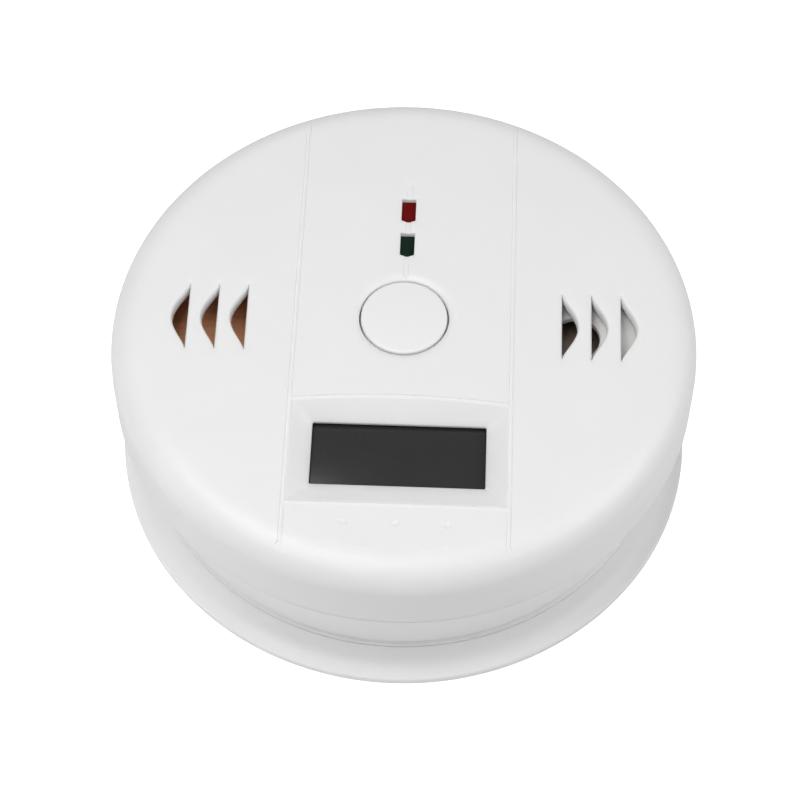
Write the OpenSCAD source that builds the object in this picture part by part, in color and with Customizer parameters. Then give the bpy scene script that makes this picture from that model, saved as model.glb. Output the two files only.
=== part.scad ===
// Round battery carbon monoxide alarm: a domed cover and a tapered housing on a twist-on wall plate.
// Origin at the centre of the plate's back face, +Z out of the alarm's face, +Y towards the lamp windows.

/* [Case] */
// Outside radius of the case at its seam
case_r = 50; // [49.5:0.1:50.5]
// Height of the seam between cover and housing
seam_z = 21.8; // [21.4:0.1:22.2]
// Height of the face at the edge of its shoulder
face_z = 35.2; // [35:0.1:35.6]
// Extra height of the face at its centre
dome = 0.55; // [0.3:0.05:0.8]
// Radius of the rounded shoulder
shoulder_r = 5.3; // [5:0.1:6]
// Thickness of the case walls
wall = 2; // [1.8:0.1:2.2]
// Radius of the housing where it meets the wall plate
foot_r = 45.9; // [45.5:0.1:46.2]

/* [Wall plate] */
// Radius of the plate's rim
rim_r = 50.3; // [50:0.1:51]
// Height of the plate's inner edge
plate_h = 5.1; // [5:0.05:5.2]
// Thickness of the plate's floor
plate_floor = 2; // [1.8:0.1:2.2]
// Distance between the centres of the screw slots
slot_spacing = 60; // [54:1:64]
// Width of a screw slot
slot_w = 4.5; // [4:0.1:5]
// Length of a screw slot, end to end
slot_l = 10.5; // [9:0.1:11]

/* [Face] */
// Half of the width of the centre strip
strip_half_w = 18.4; // [18:0.1:19]
// Width of the shallow lines on the face
line_w = 0.7; // [0.5:0.1:0.9]
// Depth of the shallow lines on the face
line_depth = 0.25; // [0.15:0.05:0.35]
// Width of the display window
window_w = 29; // [27:0.5:30]
// Height of the display window
window_h = 11.9; // [11:0.1:12.5]
// Middle of the display window along Y
window_y = -24.75; // [-25:0.05:-24.5]
// Radius of the test button's cap
button_r = 7.35; // [7.2:0.05:7.45]
// Gap around the test button
button_gap = 0.3; // [0.25:0.05:0.4]
// Middle of the test button along Y
button_y = 1.2; // [0.8:0.1:1.6]
// Distance from the middle of the face to the first vent slot
vent_first_x = 26.8; // [26.5:0.1:27]
// Distance from one vent slot to the next
vent_pitch = 5; // [4.8:0.1:5.1]
// Length of a vent slot
vent_len = 13; // [12:0.1:13.5]
// Width of a vent slot at its middle
vent_w = 2.7; // [2.4:0.1:2.9]

/* [Circuit board] */
// Radius of the circuit board
board_r = 44; // [43.5:0.1:44.5]
// Height of the board's lower face
board_z = 23.8; // [23.7:0.05:23.9]
// Thickness of the board
board_t = 1.6; // [1.5:0.05:1.6]

/* [Batteries] */
// Radius of an AA cell
cell_r = 7.1; // [7:0.05:7.15]
// Length of an AA cell with its button
cell_l = 50.5; // [49.5:0.1:50.5]
// Distance between neighbouring cells
cell_pitch = 15.2; // [15:0.1:15.3]

/* [Hidden] */
$fn = 96;

eps = 0.01;
cut = 1;                                // how far a cutting shape runs past the face it opens
face_r = case_r - shoulder_r;           // radius where the shoulder meets the face
board_top = board_z + board_t;
housing_z = plate_h + 0.3;              // lowest face of the housing, just clear of the plate
floor_top = housing_z + wall;

// Where things sit on the face
face_mid_y = 0.4;                       // middle of the vent slots along Y
lamp_x = 0;
red_y = 23.9;
green_y = 16.5;
lamp_w = 2.45;
lamp_l = 4.6;
lamp_bow = 0.35;                        // how far the lamp window's near end is rounded out
window_z = 32.8;                        // lower edge of the bezel's slopes
lip_z = 32;                             // underside of the bezel, where the glass lies
lip_t = 0.3;                            // thickness of the window's edge
undercut = 1.2;                         // how far the edge is hollowed behind the window
bezel_top_y = -16.3;
bezel_low_y = -35.4;
bezel_bow = 1;                          // rise of the bezel's upper line in its middle
dimple_y = -39;
dimple_pitch = 8.4;
dimple_r = 1.2;
lamp_line_w = 0.9;
lamp_line_end = 28.9;                   // far end of the line that joins the lamps to the button
strip_end_r = 46.5;                     // the strip's side lines stop here, on the shoulder

// Bayonet between plate and housing
hook_angles = [0 : 90 : 270];
hook_width = 8;                         // degrees
twist = 18;                             // degrees from locked to free
hook_in_r = 38;
hook_out_r = 39.5;
tongue_r = 41.5;
hook_gap = 0.3;

// Screw places
boss_r = 3;
boss_ring = 40.5;
boss_angles = [45 : 90 : 315];
head_well_l = 6;                        // how deep the case screws' heads sink into their posts
board_boss_r = 2.8;
board_screw_xy = [[-20, 34], [20, 34], [-22.5, -32], [22.5, -32]];

// Battery bay
bay_half_x = 28.5;
bay_half_y = 23.5;
bay_wall = 1.4;
cell_z = 12.7;
bay_roof = 20;
bay_top = bay_roof + 1.2;
nub_l = 1.3;
nub_r = 2.7;
contact_t = 0.4;
contact_gap = 0.9;                      // from the bay wall to the tip of a cell's button
cells = [0, 1, 2];

// Parts on the board
buzzer_xy = [29.3, 0.5];
buzzer_r = 10.8;
buzzer_top = 31.8;
port_r = 4.1;
disc_z = 28;
sensor_xy = [-31, -15];
sensor_r = 4.6;
coil_xy = [19, 14];
chip_xy = [-13, 5];
amp_xy = [-24, -10];
crystal_xy = [-13, 15.5];
trimmer_xy = [-27, 22];
lead_r = 0.3;
resistor_spots = [[-9, 31, 0], [-9, 34.5, 0], [-9, 38, 0], [9, 31, 0], [9, 34.5, 0], [9, 38, 0],
    [-12, -6.5, 0], [-14, -10, 0], [12, -10, 0], [-22, 12, 90], [28, 19, 30], [-4, -11.5, 0]];
resistor_body_l = 6;
resistor_span = 8;
disc_cap_spots = [[8, 24], [-8, 24], [8, -7], [-6, 10.5], [33, -16]];
can_spots = [[11, 18], [11, 11], [-21, -3.5]];
transistor_spots = [[20, -12], [26, -15]];
window_mid_z = board_top + 4.4;         // underside of the display glass

// ---------- outlines ----------

function arc_points(centre, r, from, to, steps) =
    [for (i = [0 : steps]) let(a = from + (to - from) * i / steps)
        centre + r * [cos(a), sin(a)]];

function reversed(list) = [for (i = [len(list) - 1 : -1 : 0]) list[i]];

function face_height(r) = face_z + dome * (1 - pow(r / face_r, 2));

// The cover's outer line from the seam over the shoulder to the axis, moved inwards by t
function cover_line(t) = concat(
    [[case_r - t, seam_z]],
    arc_points([face_r, face_z - shoulder_r], shoulder_r - t, 0, 90, 10),
    [for (i = [1 : 6]) let(r = face_r * (1 - i / 6)) [r, face_height(r) - t]]);

// Half of a vent slot's outline: a straight side and a side that swells like a flame
function vent_edge(u) = vent_w * pow(cos(90 * u), 1.4);

module vent_outline() {
    steps = 12;
    polygon([for (i = [-steps : steps]) [i == -steps || i == steps ? 0 : vent_edge(i / steps),
        vent_len / 2 * i / steps]]);
}

module arc_block(r_in, r_out, z_low, z_high, angle, width) {
    rotate([0, 0, angle - width / 2])
        rotate_extrude(angle = width)
            translate([r_in, z_low])
                square([r_out - r_in, z_high - z_low]);
}

module ring(r_out, r_in, h) {
    difference() {
        cylinder(h = h, r = r_out);
        translate([0, 0, -cut]) cylinder(h = h + 2 * cut, r = r_in);
    }
}

module block(size, centre_xy, z) {
    translate([centre_xy[0], centre_xy[1], z + size[2] / 2]) cube(size, center = true);
}

module on_screw_ring() {
    for (a = boss_angles) rotate([0, 0, a]) translate([boss_ring, 0, 0]) children();
}

module on_board_screws() {
    for (p = board_screw_xy) translate([p[0], p[1], 0]) children();
}

// ---------- wall plate ----------

module plate_outline() {
    cove_foot_r = rim_r - 0.7;
    lip = 1.5;
    polygon(concat(
        [[0, 0], [rim_r - 0.3, 0], [rim_r, 0.3], [rim_r, lip - 0.3], [rim_r - 0.3, lip]],
        [for (i = [8 : -1 : 0]) let(a = 90 * i / 8)
            [foot_r + (cove_foot_r - foot_r) * (1 - cos(a)), plate_h - (plate_h - lip) * sin(a)]],
        [[foot_r - 1.5, plate_h], [foot_r - 1.9, plate_floor], [0, plate_floor]]));
}

module screw_slot() {
    run = slot_l - slot_w;
    linear_extrude(plate_floor + 2 * cut) {
        square([run, slot_w], center = true);
        for (side = [-1, 1]) translate([side * run / 2, 0]) circle(d = slot_w);
    }
}

module mounting_plate() {
    rib_h = 0.8;
    rib_t = 1.1;
    rib_radii = [21, 36.6];
    tongue_low = floor_top + hook_gap;
    tongue_high = tongue_low + 1.3;
    color("white") difference() {
        union() {
            rotate_extrude() plate_outline();
            for (r = rib_radii) translate([0, 0, plate_floor - eps]) ring(r, r - rib_t, rib_h);
            for (a = hook_angles) {
                arc_block(hook_in_r, hook_out_r, plate_floor - eps, tongue_high, a, hook_width);
                arc_block(hook_in_r, tongue_r, tongue_low, tongue_high, a, hook_width);
            }
        }
        for (side = [-1, 1]) translate([side * slot_spacing / 2, 0, -cut]) screw_slot();
    }
}

// ---------- back housing ----------

module housing_outline() {
    ledge_w = 0.55;
    polygon([[0, housing_z], [foot_r, housing_z], [foot_r, housing_z + 0.6],
        [foot_r - ledge_w, housing_z + 0.75], [case_r, seam_z], [case_r - wall, seam_z],
        [foot_r - ledge_w - wall, floor_top], [0, floor_top]]);
}

module battery_bay_box() {
    block([2 * (bay_half_x + bay_wall), 2 * (bay_half_y + bay_wall), bay_top - housing_z],
        [0, 0], housing_z);
}

module battery_bay_hollow() {
    block([2 * bay_half_x, 2 * bay_half_y, bay_roof - housing_z + cut], [0, 0], housing_z - cut);
}

module hook_slots() {
    clear = 0.6;                        // degrees beside the hook at each end of its travel
    for (a = hook_angles) {
        arc_block(hook_in_r - hook_gap, hook_out_r + hook_gap, housing_z - cut, floor_top + cut,
            a - twist / 2, twist + hook_width + 2 * clear);
        arc_block(hook_in_r - hook_gap, tongue_r + hook_gap, housing_z - cut, floor_top + cut,
            a - twist, hook_width + 2 * clear);
    }
}

module back_housing() {
    lip_r = case_r - wall - 0.2;
    lip_h = 1;
    lip_w = 1.1;
    head_well_r = 2.4;
    shank_bore_r = 1.4;
    tab_slot = [1.2, 5, 4];
    rib_t = 0.5;
    color("white") difference() {
        union() {
            rotate_extrude() housing_outline();
            translate([0, 0, seam_z - 2 * lip_h]) ring(lip_r, lip_r - lip_w, 3 * lip_h);
            translate([0, 0, seam_z - 2 * lip_h]) ring(case_r - wall + 0.1, lip_r - lip_w / 2, 1.6 * lip_h);
            battery_bay_box();
            on_screw_ring() translate([0, 0, housing_z]) cylinder(h = seam_z - housing_z, r = boss_r);
        }
        battery_bay_hollow();
        hook_slots();
        for (side = [-1, 1])
            block(tab_slot, [side * (bay_half_x - tab_slot[0] / 2), side * cell_pitch], bay_roof - cut);
        on_screw_ring() {
            translate([0, 0, housing_z - cut]) cylinder(h = head_well_l + cut, r = head_well_r);
            translate([0, 0, housing_z]) cylinder(h = 2 * seam_z, r = shank_bore_r);
        }
    }
    color("white")
        for (y = [-cell_pitch / 2, cell_pitch / 2])
            block([2 * bay_half_x - 12, rib_t, bay_roof - cell_z], [0, y], cell_z);
}

// ---------- front cover ----------

module face_skin(depth) {
    rotate_extrude() polygon(concat(cover_line(-cut), reversed(cover_line(depth))));
}

module face_lines() {
    bow_r = (pow(strip_half_w, 2) + pow(bezel_bow, 2)) / (2 * bezel_bow);
    lamp_line_from = button_y + button_r;
    intersection() {
        circle(r = strip_end_r);
        for (side = [-1, 1]) translate([side * strip_half_w, 0]) square([line_w, 2 * case_r], center = true);
    }
    translate([0, bezel_low_y - line_w / 2]) square([2 * strip_half_w, line_w], center = true);
    intersection() {
        translate([0, bezel_top_y + bezel_bow + line_w / 2 - bow_r]) difference() {
            circle(r = bow_r + line_w / 2, $fn = 720);
            circle(r = bow_r - line_w / 2, $fn = 720);
        }
        translate([0, bezel_top_y]) square([2 * strip_half_w, 6], center = true);
    }
    translate([lamp_x, (lamp_line_end + lamp_line_from) / 2])
        square([lamp_line_w, lamp_line_end - lamp_line_from], center = true);
}

// The four slopes that lead from the face down to the display window
module bezel_recess() {
    half_w = window_w / 2;
    out_w = strip_half_w - line_w / 2;
    top = face_z + cut;
    grow = (top - window_z) / (face_z + dome / 2 - window_z);
    mid_top = window_y + window_h / 2;
    mid_low = window_y - window_h / 2;
    intersection() {
        rotate([90, 0, 0]) linear_extrude(120, center = true)
            polygon([[-half_w, window_z], [half_w, window_z],
                [half_w + (out_w - half_w) * grow, top], [-half_w - (out_w - half_w) * grow, top]]);
        rotate([90, 0, 90]) linear_extrude(120, center = true)
            polygon([[mid_low, window_z], [mid_top, window_z],
                [mid_top + (bezel_top_y - mid_top) * grow, top],
                [mid_low + (bezel_low_y - mid_low) * grow, top]]);
    }
}

module lamp_window(y) {
    bow_r = (pow(lamp_w / 2, 2) + pow(lamp_bow, 2)) / (2 * lamp_bow);
    translate([lamp_x, y, face_z - 5]) linear_extrude(10) {
        square([lamp_w, lamp_l], center = true);
        intersection() {
            translate([0, -lamp_l / 2 - lamp_bow + bow_r]) circle(r = bow_r);
            translate([0, -lamp_l / 2]) square([lamp_w, 2 * lamp_bow], center = true);
        }
    }
}

module all_vents() {
    for (side = [0, 1]) mirror([side, 0, 0])
        for (i = [0 : 2])
            translate([vent_first_x + i * vent_pitch, face_mid_y, face_z - 8])
                linear_extrude(16) vent_outline();
}

module front_cover() {
    pad_low = [2 * strip_half_w + 2, 24, face_z - lip_z - 0.5];
    color("white") difference() {
        union() {
            difference() {
                rotate_extrude() polygon(concat(cover_line(0), reversed(cover_line(wall))));
                intersection() {
                    face_skin(line_depth);
                    translate([0, 0, face_z - 4]) linear_extrude(8) face_lines();
                }
            }
            block(pad_low, [0, -26], lip_z);
            on_screw_ring() translate([0, 0, seam_z + 0.1]) cylinder(h = 12, r = boss_r);
            on_board_screws() translate([0, 0, board_top])
                cylinder(h = face_z - 1 - board_top, r = board_boss_r);
        }
        bezel_recess();
        block([window_w, window_h, 10], [0, window_y], window_z - 5);
        block([window_w + 2 * undercut, window_h + 2 * undercut, 2], [0, window_y], window_z - lip_t - 2);
        translate([0, button_y, face_z - 8]) cylinder(h = 16, r = button_r + button_gap);
        translate([0, button_y, face_z - 0.05]) cylinder(h = 2, r1 = button_r + 0.5, r2 = button_r + 5.3);
        for (y = [red_y, green_y]) lamp_window(y);
        all_vents();
        for (i = [-1 : 1]) translate([i * dimple_pitch, dimple_y, face_z + 1]) sphere(r = dimple_r);
        on_screw_ring() translate([0, 0, seam_z - cut]) cylinder(h = 10, r = 1.3);
        on_board_screws() translate([0, 0, board_top - cut]) cylinder(h = 7, r = 1.05);
    }
}

// ---------- test button and its switch ----------

module test_button() {
    cap_top = face_z + 0.35;
    edge = 0.6;
    flange_z = 31.9;
    flange_t = 1.1;
    stem_low = board_top + 4.5;
    color("white") translate([0, button_y, 0]) rotate_extrude()
        polygon(concat([[0, stem_low], [1.9, stem_low], [1.9, flange_z], [button_r + 1.4, flange_z],
            [button_r + 1.4, flange_z + flange_t], [button_r, flange_z + flange_t]],
            arc_points([button_r - edge, cap_top - edge], edge, 0, 90, 5),
            [[button_r - 2.5, cap_top + 0.08], [0, cap_top + 0.15]]));
}

module switch_body() {
    difference() {
        color("dimgray") block([6, 6, 3.3], [0, button_y], board_top);
        translate([0, button_y, board_top + 1]) cylinder(h = 5, r = 1.82);
    }
}

module switch_frame() {
    color("silver") translate([0, button_y, board_top + 3.3]) difference() {
        translate([0, 0, 0.15]) cube([5.8, 5.8, 0.3], center = true);
        translate([0, 0, -cut]) cylinder(h = 3, r = 1.85);
        for (x = [-2.1, 2.1]) for (y = [-2.1, 2.1]) translate([x, y, -cut]) cylinder(h = 3, r = 0.35);
    }
}

module switch_plunger() {
    color("black") translate([0, button_y, board_top + 1.5]) cylinder(h = 2.8, r = 1.75);
}

module switch_legs() {
    color("silver") for (x = [-3.25, 3.25]) for (y = [-2.25, 2.25])
        block([0.3, 0.8, 2.4], [x, button_y + y], board_top);
}

// ---------- display ----------

module lcd_glass() {
    color("darkslategray") block([34, 17.6, lip_z - window_mid_z - 0.05], [0, window_y], window_mid_z);
}

module lcd_holder() {
    outer = [36, 19.6];
    color("whitesmoke") difference() {
        block([outer[0], outer[1], window_mid_z - board_top], [0, window_y], board_top);
        block([outer[0] - 5, outer[1] - 7, 10], [0, window_y], board_top - cut);
        for (side = [-1, 1])
            block([30, 1.8, 10], [0, window_y + side * 7.7], board_top - cut);
    }
}

module lcd_contact_strips() {
    color("lightgray") for (side = [-1, 1])
        block([29.6, 1.6, window_mid_z - board_top], [0, window_y + side * 7.7], board_top);
}

// ---------- lamps ----------

lamp_body_w = lamp_w - 0.25;
lamp_body_l = lamp_l - 0.25;
lamp_low = board_top + 2;
lamp_top = face_z - 0.5;

module lamp_body(y) {
    block([lamp_body_w, lamp_body_l, lamp_top - lamp_low], [lamp_x, y], lamp_low);
    block([lamp_body_w + 0.6, lamp_body_l + 0.4, 0.9], [lamp_x, y], lamp_low);
}

module red_led() {
    color("darkred") lamp_body(red_y);
}

module green_led() {
    color("darkgreen") lamp_body(green_y);
}

module led_leads() {
    color("silver") for (y = [red_y, green_y]) for (side = [-1, 1])
        block([0.5, 0.5, lamp_low - board_top], [lamp_x, y + side * 1.27], board_top);
}

// ---------- circuit board and screws ----------

module circuit_board() {
    color("sienna") difference() {
        translate([0, 0, board_z]) cylinder(h = board_t, r = board_r);
        on_screw_ring() translate([0, 0, board_z - cut]) cylinder(h = 5, r = boss_r + 0.5);
        on_board_screws() translate([0, 0, board_z - cut]) cylinder(h = 5, r = 1.3);
        for (side = [-1, 1]) block([3, 6, 5], [side * board_r, 0], board_z - cut);
    }
}

module pan_screw(head_r, head_h, shank_r, shank_l) {
    recess = head_h * 0.6;
    difference() {
        union() {
            rotate_extrude() polygon(concat([[0, 0], [head_r * 0.6, 0]],
                arc_points([head_r * 0.6, head_h * 0.6], head_r * 0.4, -70, 0, 4),
                [[head_r, head_h], [0, head_h]]));
            translate([0, 0, head_h - eps]) cylinder(h = shank_l, r = shank_r);
        }
        for (a = [0, 90]) rotate([0, 0, a])
            translate([0, 0, recess / 2 - eps]) cube([head_r * 1.3, 0.6, recess], center = true);
    }
}

module board_screws() {
    head_h = 1.6;
    color("silver") on_board_screws() translate([0, 0, board_z - head_h - 0.02])
        pan_screw(2.4, head_h, 0.98, 6);
}

module housing_screws() {
    head_h = 1.8;
    color("silver") on_screw_ring() translate([0, 0, housing_z + head_well_l - head_h - 0.02])
        pan_screw(2.3, head_h, 1.22, 17);
}

// ---------- sounder ----------

module buzzer_cup() {
    cup_wall = 1.2;
    color("white") translate([buzzer_xy[0], buzzer_xy[1], board_top]) difference() {
        cylinder(h = buzzer_top - board_top, r = buzzer_r);
        translate([0, 0, -cut]) cylinder(h = disc_z - board_top + cut, r = buzzer_r - cup_wall - 0.9);
        translate([0, 0, disc_z - board_top - eps])
            cylinder(h = buzzer_top - disc_z - 1.1, r = buzzer_r - cup_wall);
        cylinder(h = 20, r = port_r);
    }
}

module piezo_disc() {
    color("goldenrod") translate([buzzer_xy[0], buzzer_xy[1], disc_z]) cylinder(h = 0.25, r = 9.3);
}

module piezo_ceramic() {
    color("lightgray") translate([buzzer_xy[0], buzzer_xy[1], disc_z - 0.22]) cylinder(h = 0.22, r = 6.5);
}

module piezo_contacts() {
    color("gold") for (p = [[0, 0.22], [7.6, 0]])
        translate([buzzer_xy[0] + p[0], buzzer_xy[1], board_top])
            cylinder(h = disc_z - board_top - p[1], r = 0.5);
}

module sounder_coil() {
    color("dimgray") translate([coil_xy[0], coil_xy[1], board_top]) {
        cylinder(h = 1, r = 4);
        cylinder(h = 6, r = 1.8);
        translate([0, 0, 5]) cylinder(h = 1, r = 4);
    }
}

module sounder_winding() {
    color("peru") translate([coil_xy[0], coil_xy[1], board_top + 1.02]) ring(3.5, 1.82, 3.96);
}

// ---------- gas sensor ----------

module sensor_can() {
    color("silver") translate([sensor_xy[0], sensor_xy[1], board_top + 1.6]) difference() {
        cylinder(h = 5, r = sensor_r);
        translate([0, 0, -cut]) cylinder(h = 5.5, r = sensor_r - 0.3);
        cylinder(h = 10, r = 2.6);
    }
}

module sensor_gauze() {
    color("gray") translate([sensor_xy[0], sensor_xy[1], board_top + 5.8]) cylinder(h = 0.28, r = 4);
}

module sensor_base() {
    color("saddlebrown") translate([sensor_xy[0], sensor_xy[1], board_top + 0.6]) {
        cylinder(h = 0.98, r = sensor_r);
        cylinder(h = 2.4, r = sensor_r - 0.35);
    }
}

module sensor_pins() {
    color("silver") for (a = [0 : 60 : 300])
        translate([sensor_xy[0] + 3.2 * cos(a), sensor_xy[1] + 3.2 * sin(a), board_top])
            cylinder(h = 0.6, r = 0.45, $fn = 24);
}

// ---------- small parts on the board ----------

module chip_body(size, xy) {
    difference() {
        block([size[0], size[1], size[2]], xy, board_top + 0.4);
        translate([xy[0] - size[0] / 2, xy[1], board_top + size[2] + 0.2]) cylinder(h = 1, r = 0.8, $fn = 24);
    }
}

module chip_pins(count, pitch, size, xy) {
    for (i = [0 : count - 1]) for (side = [-1, 1]) {
        x = xy[0] + (i - (count - 1) / 2) * pitch;
        block([pitch * 0.35, 1, 0.2], [x, xy[1] + side * (size[1] / 2 + 0.9)], board_top);
        block([pitch * 0.35, 0.2, 1.5], [x, xy[1] + side * (size[1] / 2 + 0.5)], board_top);
        block([pitch * 0.35, 0.5, 0.2], [x, xy[1] + side * (size[1] / 2 + 0.25)], board_top + 1.3);
    }
}

chip_size = [12.6, 5.4, 2.1];
amp_size = [5, 4, 1.6];

module controller_chip() {
    color("black") chip_body(chip_size, chip_xy);
}

module controller_pins() {
    color("silver") chip_pins(10, 1.2, chip_size, chip_xy);
}

module amplifier_chip() {
    color("black") chip_body(amp_size, amp_xy);
}

module amplifier_pins() {
    color("silver") chip_pins(4, 1.2, amp_size, amp_xy);
}

module crystal_can() {
    color("silver") translate([crystal_xy[0], crystal_xy[1], board_top]) linear_extrude(3.4) {
        square([6.6, 4.2], center = true);
        for (side = [-1, 1]) translate([side * 3.3, 0]) circle(r = 2.1);
    }
}

module transistors() {
    color("black") for (p = transistor_spots)
        translate([p[0], p[1], board_top + 1.5]) linear_extrude(4.6) intersection() {
            circle(r = 2.3);
            translate([0, 0.6]) square([5, 3.6], center = true);
        }
}

module electrolytic_capacitors() {
    color("midnightblue") for (p = can_spots)
        translate([p[0], p[1], board_top]) difference() {
            cylinder(h = 6.6, r = 2.5);
            for (a = [0, 90]) rotate([0, 0, a])
                translate([0, 0, 6.6]) cube([3.4, 0.3, 0.3], center = true);
        }
}

module ceramic_capacitors() {
    color("peru") for (p = disc_cap_spots)
        translate([p[0], p[1], board_top + 3.2]) rotate([90, 0, 0])
            cylinder(h = 1.4, r = 2, center = true);
}

module resistors() {
    color("tan") for (s = resistor_spots)
        translate([s[0], s[1], board_top + 1.3]) rotate([0, 90, s[2]]) {
            cylinder(h = resistor_body_l - 2, r = 0.95, center = true, $fn = 32);
            for (side = [-1, 1]) translate([0, 0, side * (resistor_body_l / 2 - 0.9)])
                cylinder(h = 1.6, r = 1.15, center = true, $fn = 32);
        }
}

module component_leads() {
    reach = resistor_span / 2;
    stub = reach - resistor_body_l / 2 + 0.1;
    color("silver") {
        for (s = resistor_spots) translate([s[0], s[1], 0]) rotate([0, 0, s[2]])
            for (side = [-1, 1]) {
                block([stub + lead_r, 2 * lead_r, 2 * lead_r],
                    [side * (resistor_body_l / 2 - 0.1 + (stub + lead_r) / 2), 0], board_top + 1.3 - lead_r);
                block([2 * lead_r, 2 * lead_r, 1.3], [side * reach, 0], board_top);
            }
        for (p = transistor_spots) for (x = [-1.27, 0, 1.27])
            block([0.45, 0.45, 1.5], [p[0] + x, p[1] + 0.4], board_top);
        for (p = disc_cap_spots) for (x = [-1.2, 1.2])
            block([0.5, 0.5, 1.4], [p[0] + x, p[1]], board_top);
    }
}

module trimmer() {
    color("royalblue") translate([trimmer_xy[0], trimmer_xy[1], board_top]) difference() {
        union() {
            translate([0, 0, 1.2]) cube([6.6, 6.6, 2.4], center = true);
            cylinder(h = 3.2, r = 2.6);
        }
        translate([0, 0, 3.2]) cube([4, 0.7, 1.2], center = true);
    }
}

module solder_joints() {
    h = 0.9;
    spots = concat(
        [for (s = resistor_spots) for (side = [-1, 1])
            [s[0] + side * resistor_span / 2 * cos(s[2]), s[1] + side * resistor_span / 2 * sin(s[2])]],
        [for (y = [red_y, green_y]) for (side = [-1, 1]) [lamp_x, y + side * 1.27]],
        [for (x = [-3.25, 3.25]) for (y = [-2.25, 2.25]) [x, button_y + y]],
        [for (p = transistor_spots) for (x = [-1.27, 1.27]) [p[0] + x, p[1] + 0.4]],
        [for (a = [0 : 60 : 300]) sensor_xy + 3.2 * [cos(a), sin(a)]]);
    color("silver") for (p = spots)
        translate([p[0], p[1], board_z - h]) cylinder(h = h, r1 = 0.35, r2 = 1, $fn = 24);
}

// ---------- batteries and their contacts ----------

function cell_y(i) = (i - 1) * cell_pitch;
function cell_dir(i) = i == 1 ? -1 : 1;             // which way the cell's button points along X
function cell_flat_x(i) = cell_dir(i) * (bay_half_x - contact_gap - cell_l);

module cell(i) {
    body_l = cell_l - nub_l;
    color("darkorange") translate([cell_flat_x(i), cell_y(i), cell_z]) rotate([0, 90 * cell_dir(i), 0]) {
        translate([0, 0, 0.3]) cylinder(h = body_l - 0.3, r = cell_r);
        cylinder(h = 0.4, r = cell_r - 1.4);
        cylinder(h = cell_l, r = nub_r);
    }
}

module battery_1() {
    cell(0);
}

module battery_2() {
    cell(1);
}

module battery_3() {
    cell(2);
}

// A closed tube along a list of points, its rings turned about the reference direction
function unit(v) = v / norm(v);
function run_at(p, i) = unit(p[min(i + 1, len(p) - 1)] - p[max(i - 1, 0)]);
function tube_ring(p, i, r, sides, ref) =
    let(t = run_at(p, i), a = unit(cross(t, ref)), b = cross(t, a))
    [for (k = [0 : sides - 1]) p[i] + r * (cos(360 * k / sides) * a + sin(360 * k / sides) * b)];

module tube(p, r, sides, ref) {
    n = len(p);
    polyhedron(
        points = [for (i = [0 : n - 1]) each tube_ring(p, i, r, sides, ref)],
        faces = concat(
            [[for (k = [0 : sides - 1]) k]],
            [[for (k = [sides - 1 : -1 : 0]) (n - 1) * sides + k]],
            [for (i = [0 : n - 2]) for (k = [0 : sides - 1]) let(m = (k + 1) % sides)
                [i * sides + m, i * sides + k, (i + 1) * sides + k, (i + 1) * sides + m]]));
}

module spring_coil(length, r_big, r_small, turns) {
    steps = 16;
    count = turns * steps;
    tube([for (i = [0 : count]) let(u = i / count, r = r_big + (r_small - r_big) * u)
        [0.45 + (length - 0.9) * u, r * cos(360 * i / steps), r * sin(360 * i / steps)]],
        0.35, 6, [1, 0, 0]);
}

module battery_springs() {
    free = bay_half_x - contact_t - (cell_l + contact_gap - bay_half_x);
    color("silver") for (i = cells)
        translate([-cell_dir(i) * (bay_half_x - contact_t), cell_y(i), cell_z])
            rotate([0, 0, cell_dir(i) > 0 ? 0 : 180]) spring_coil(free, 4.6, 2.6, 4);
}

module contact_plate(side, y_from, y_to) {
    h = 11;
    block([contact_t - 0.02, y_to - y_from, h],
        [side * (bay_half_x - contact_t / 2), (y_from + y_to) / 2], cell_z - h / 2);
}

module battery_contacts() {
    half = 5;
    color("silver") {
        contact_plate(1, -cell_pitch - half, half);
        contact_plate(1, cell_pitch - half, cell_pitch + half);
        contact_plate(-1, -cell_pitch - half, -cell_pitch + half);
        contact_plate(-1, -half, cell_pitch + half);
        block([contact_t - 0.02, 4, 4.2], [bay_half_x - contact_t / 2, cell_pitch], cell_z + 5.4);
        block([contact_t - 0.02, 4, 4.2], [-bay_half_x + contact_t / 2, -cell_pitch], cell_z + 5.4);
    }
}

// A smooth line through hand-placed points
function blend_point(p, i, u) =
    let(a = p[max(i - 1, 0)], b = p[i], c = p[i + 1], d = p[min(i + 2, len(p) - 1)])
    0.5 * (2 * b + (c - a) * u + (2 * a - 5 * b + 4 * c - d) * u * u + (3 * b - a - 3 * c + d) * u * u * u);
function smooth(p, steps) = concat(
    [for (i = [0 : len(p) - 2]) for (k = [0 : steps - 1]) blend_point(p, i, k / steps)], [p[len(p) - 1]]);

wire_r = 0.6;
red_route = [[28.6, 15.2, 22], [31, 15.8, 22.1], [33.5, 17.7, 22.2], [35, 19.2, 22.5], [35.5, 19.7, 23.1],
    [35.5, 19.7, 23.7]];
black_route = [[-28.6, -15.2, 22], [-31, -16, 22.1], [-33, -18, 22.2], [-34, -19.4, 22.5], [-34.4, -20, 23.1],
    [-34.4, -20, 23.7]];

module red_wire() {
    color("red") tube(smooth(red_route, 4), wire_r, 8, [0.5, -0.7, 0.1]);
}

module black_wire() {
    color("black") tube(smooth(black_route, 4), wire_r, 8, [0.5, -0.7, 0.1]);
}

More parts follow.
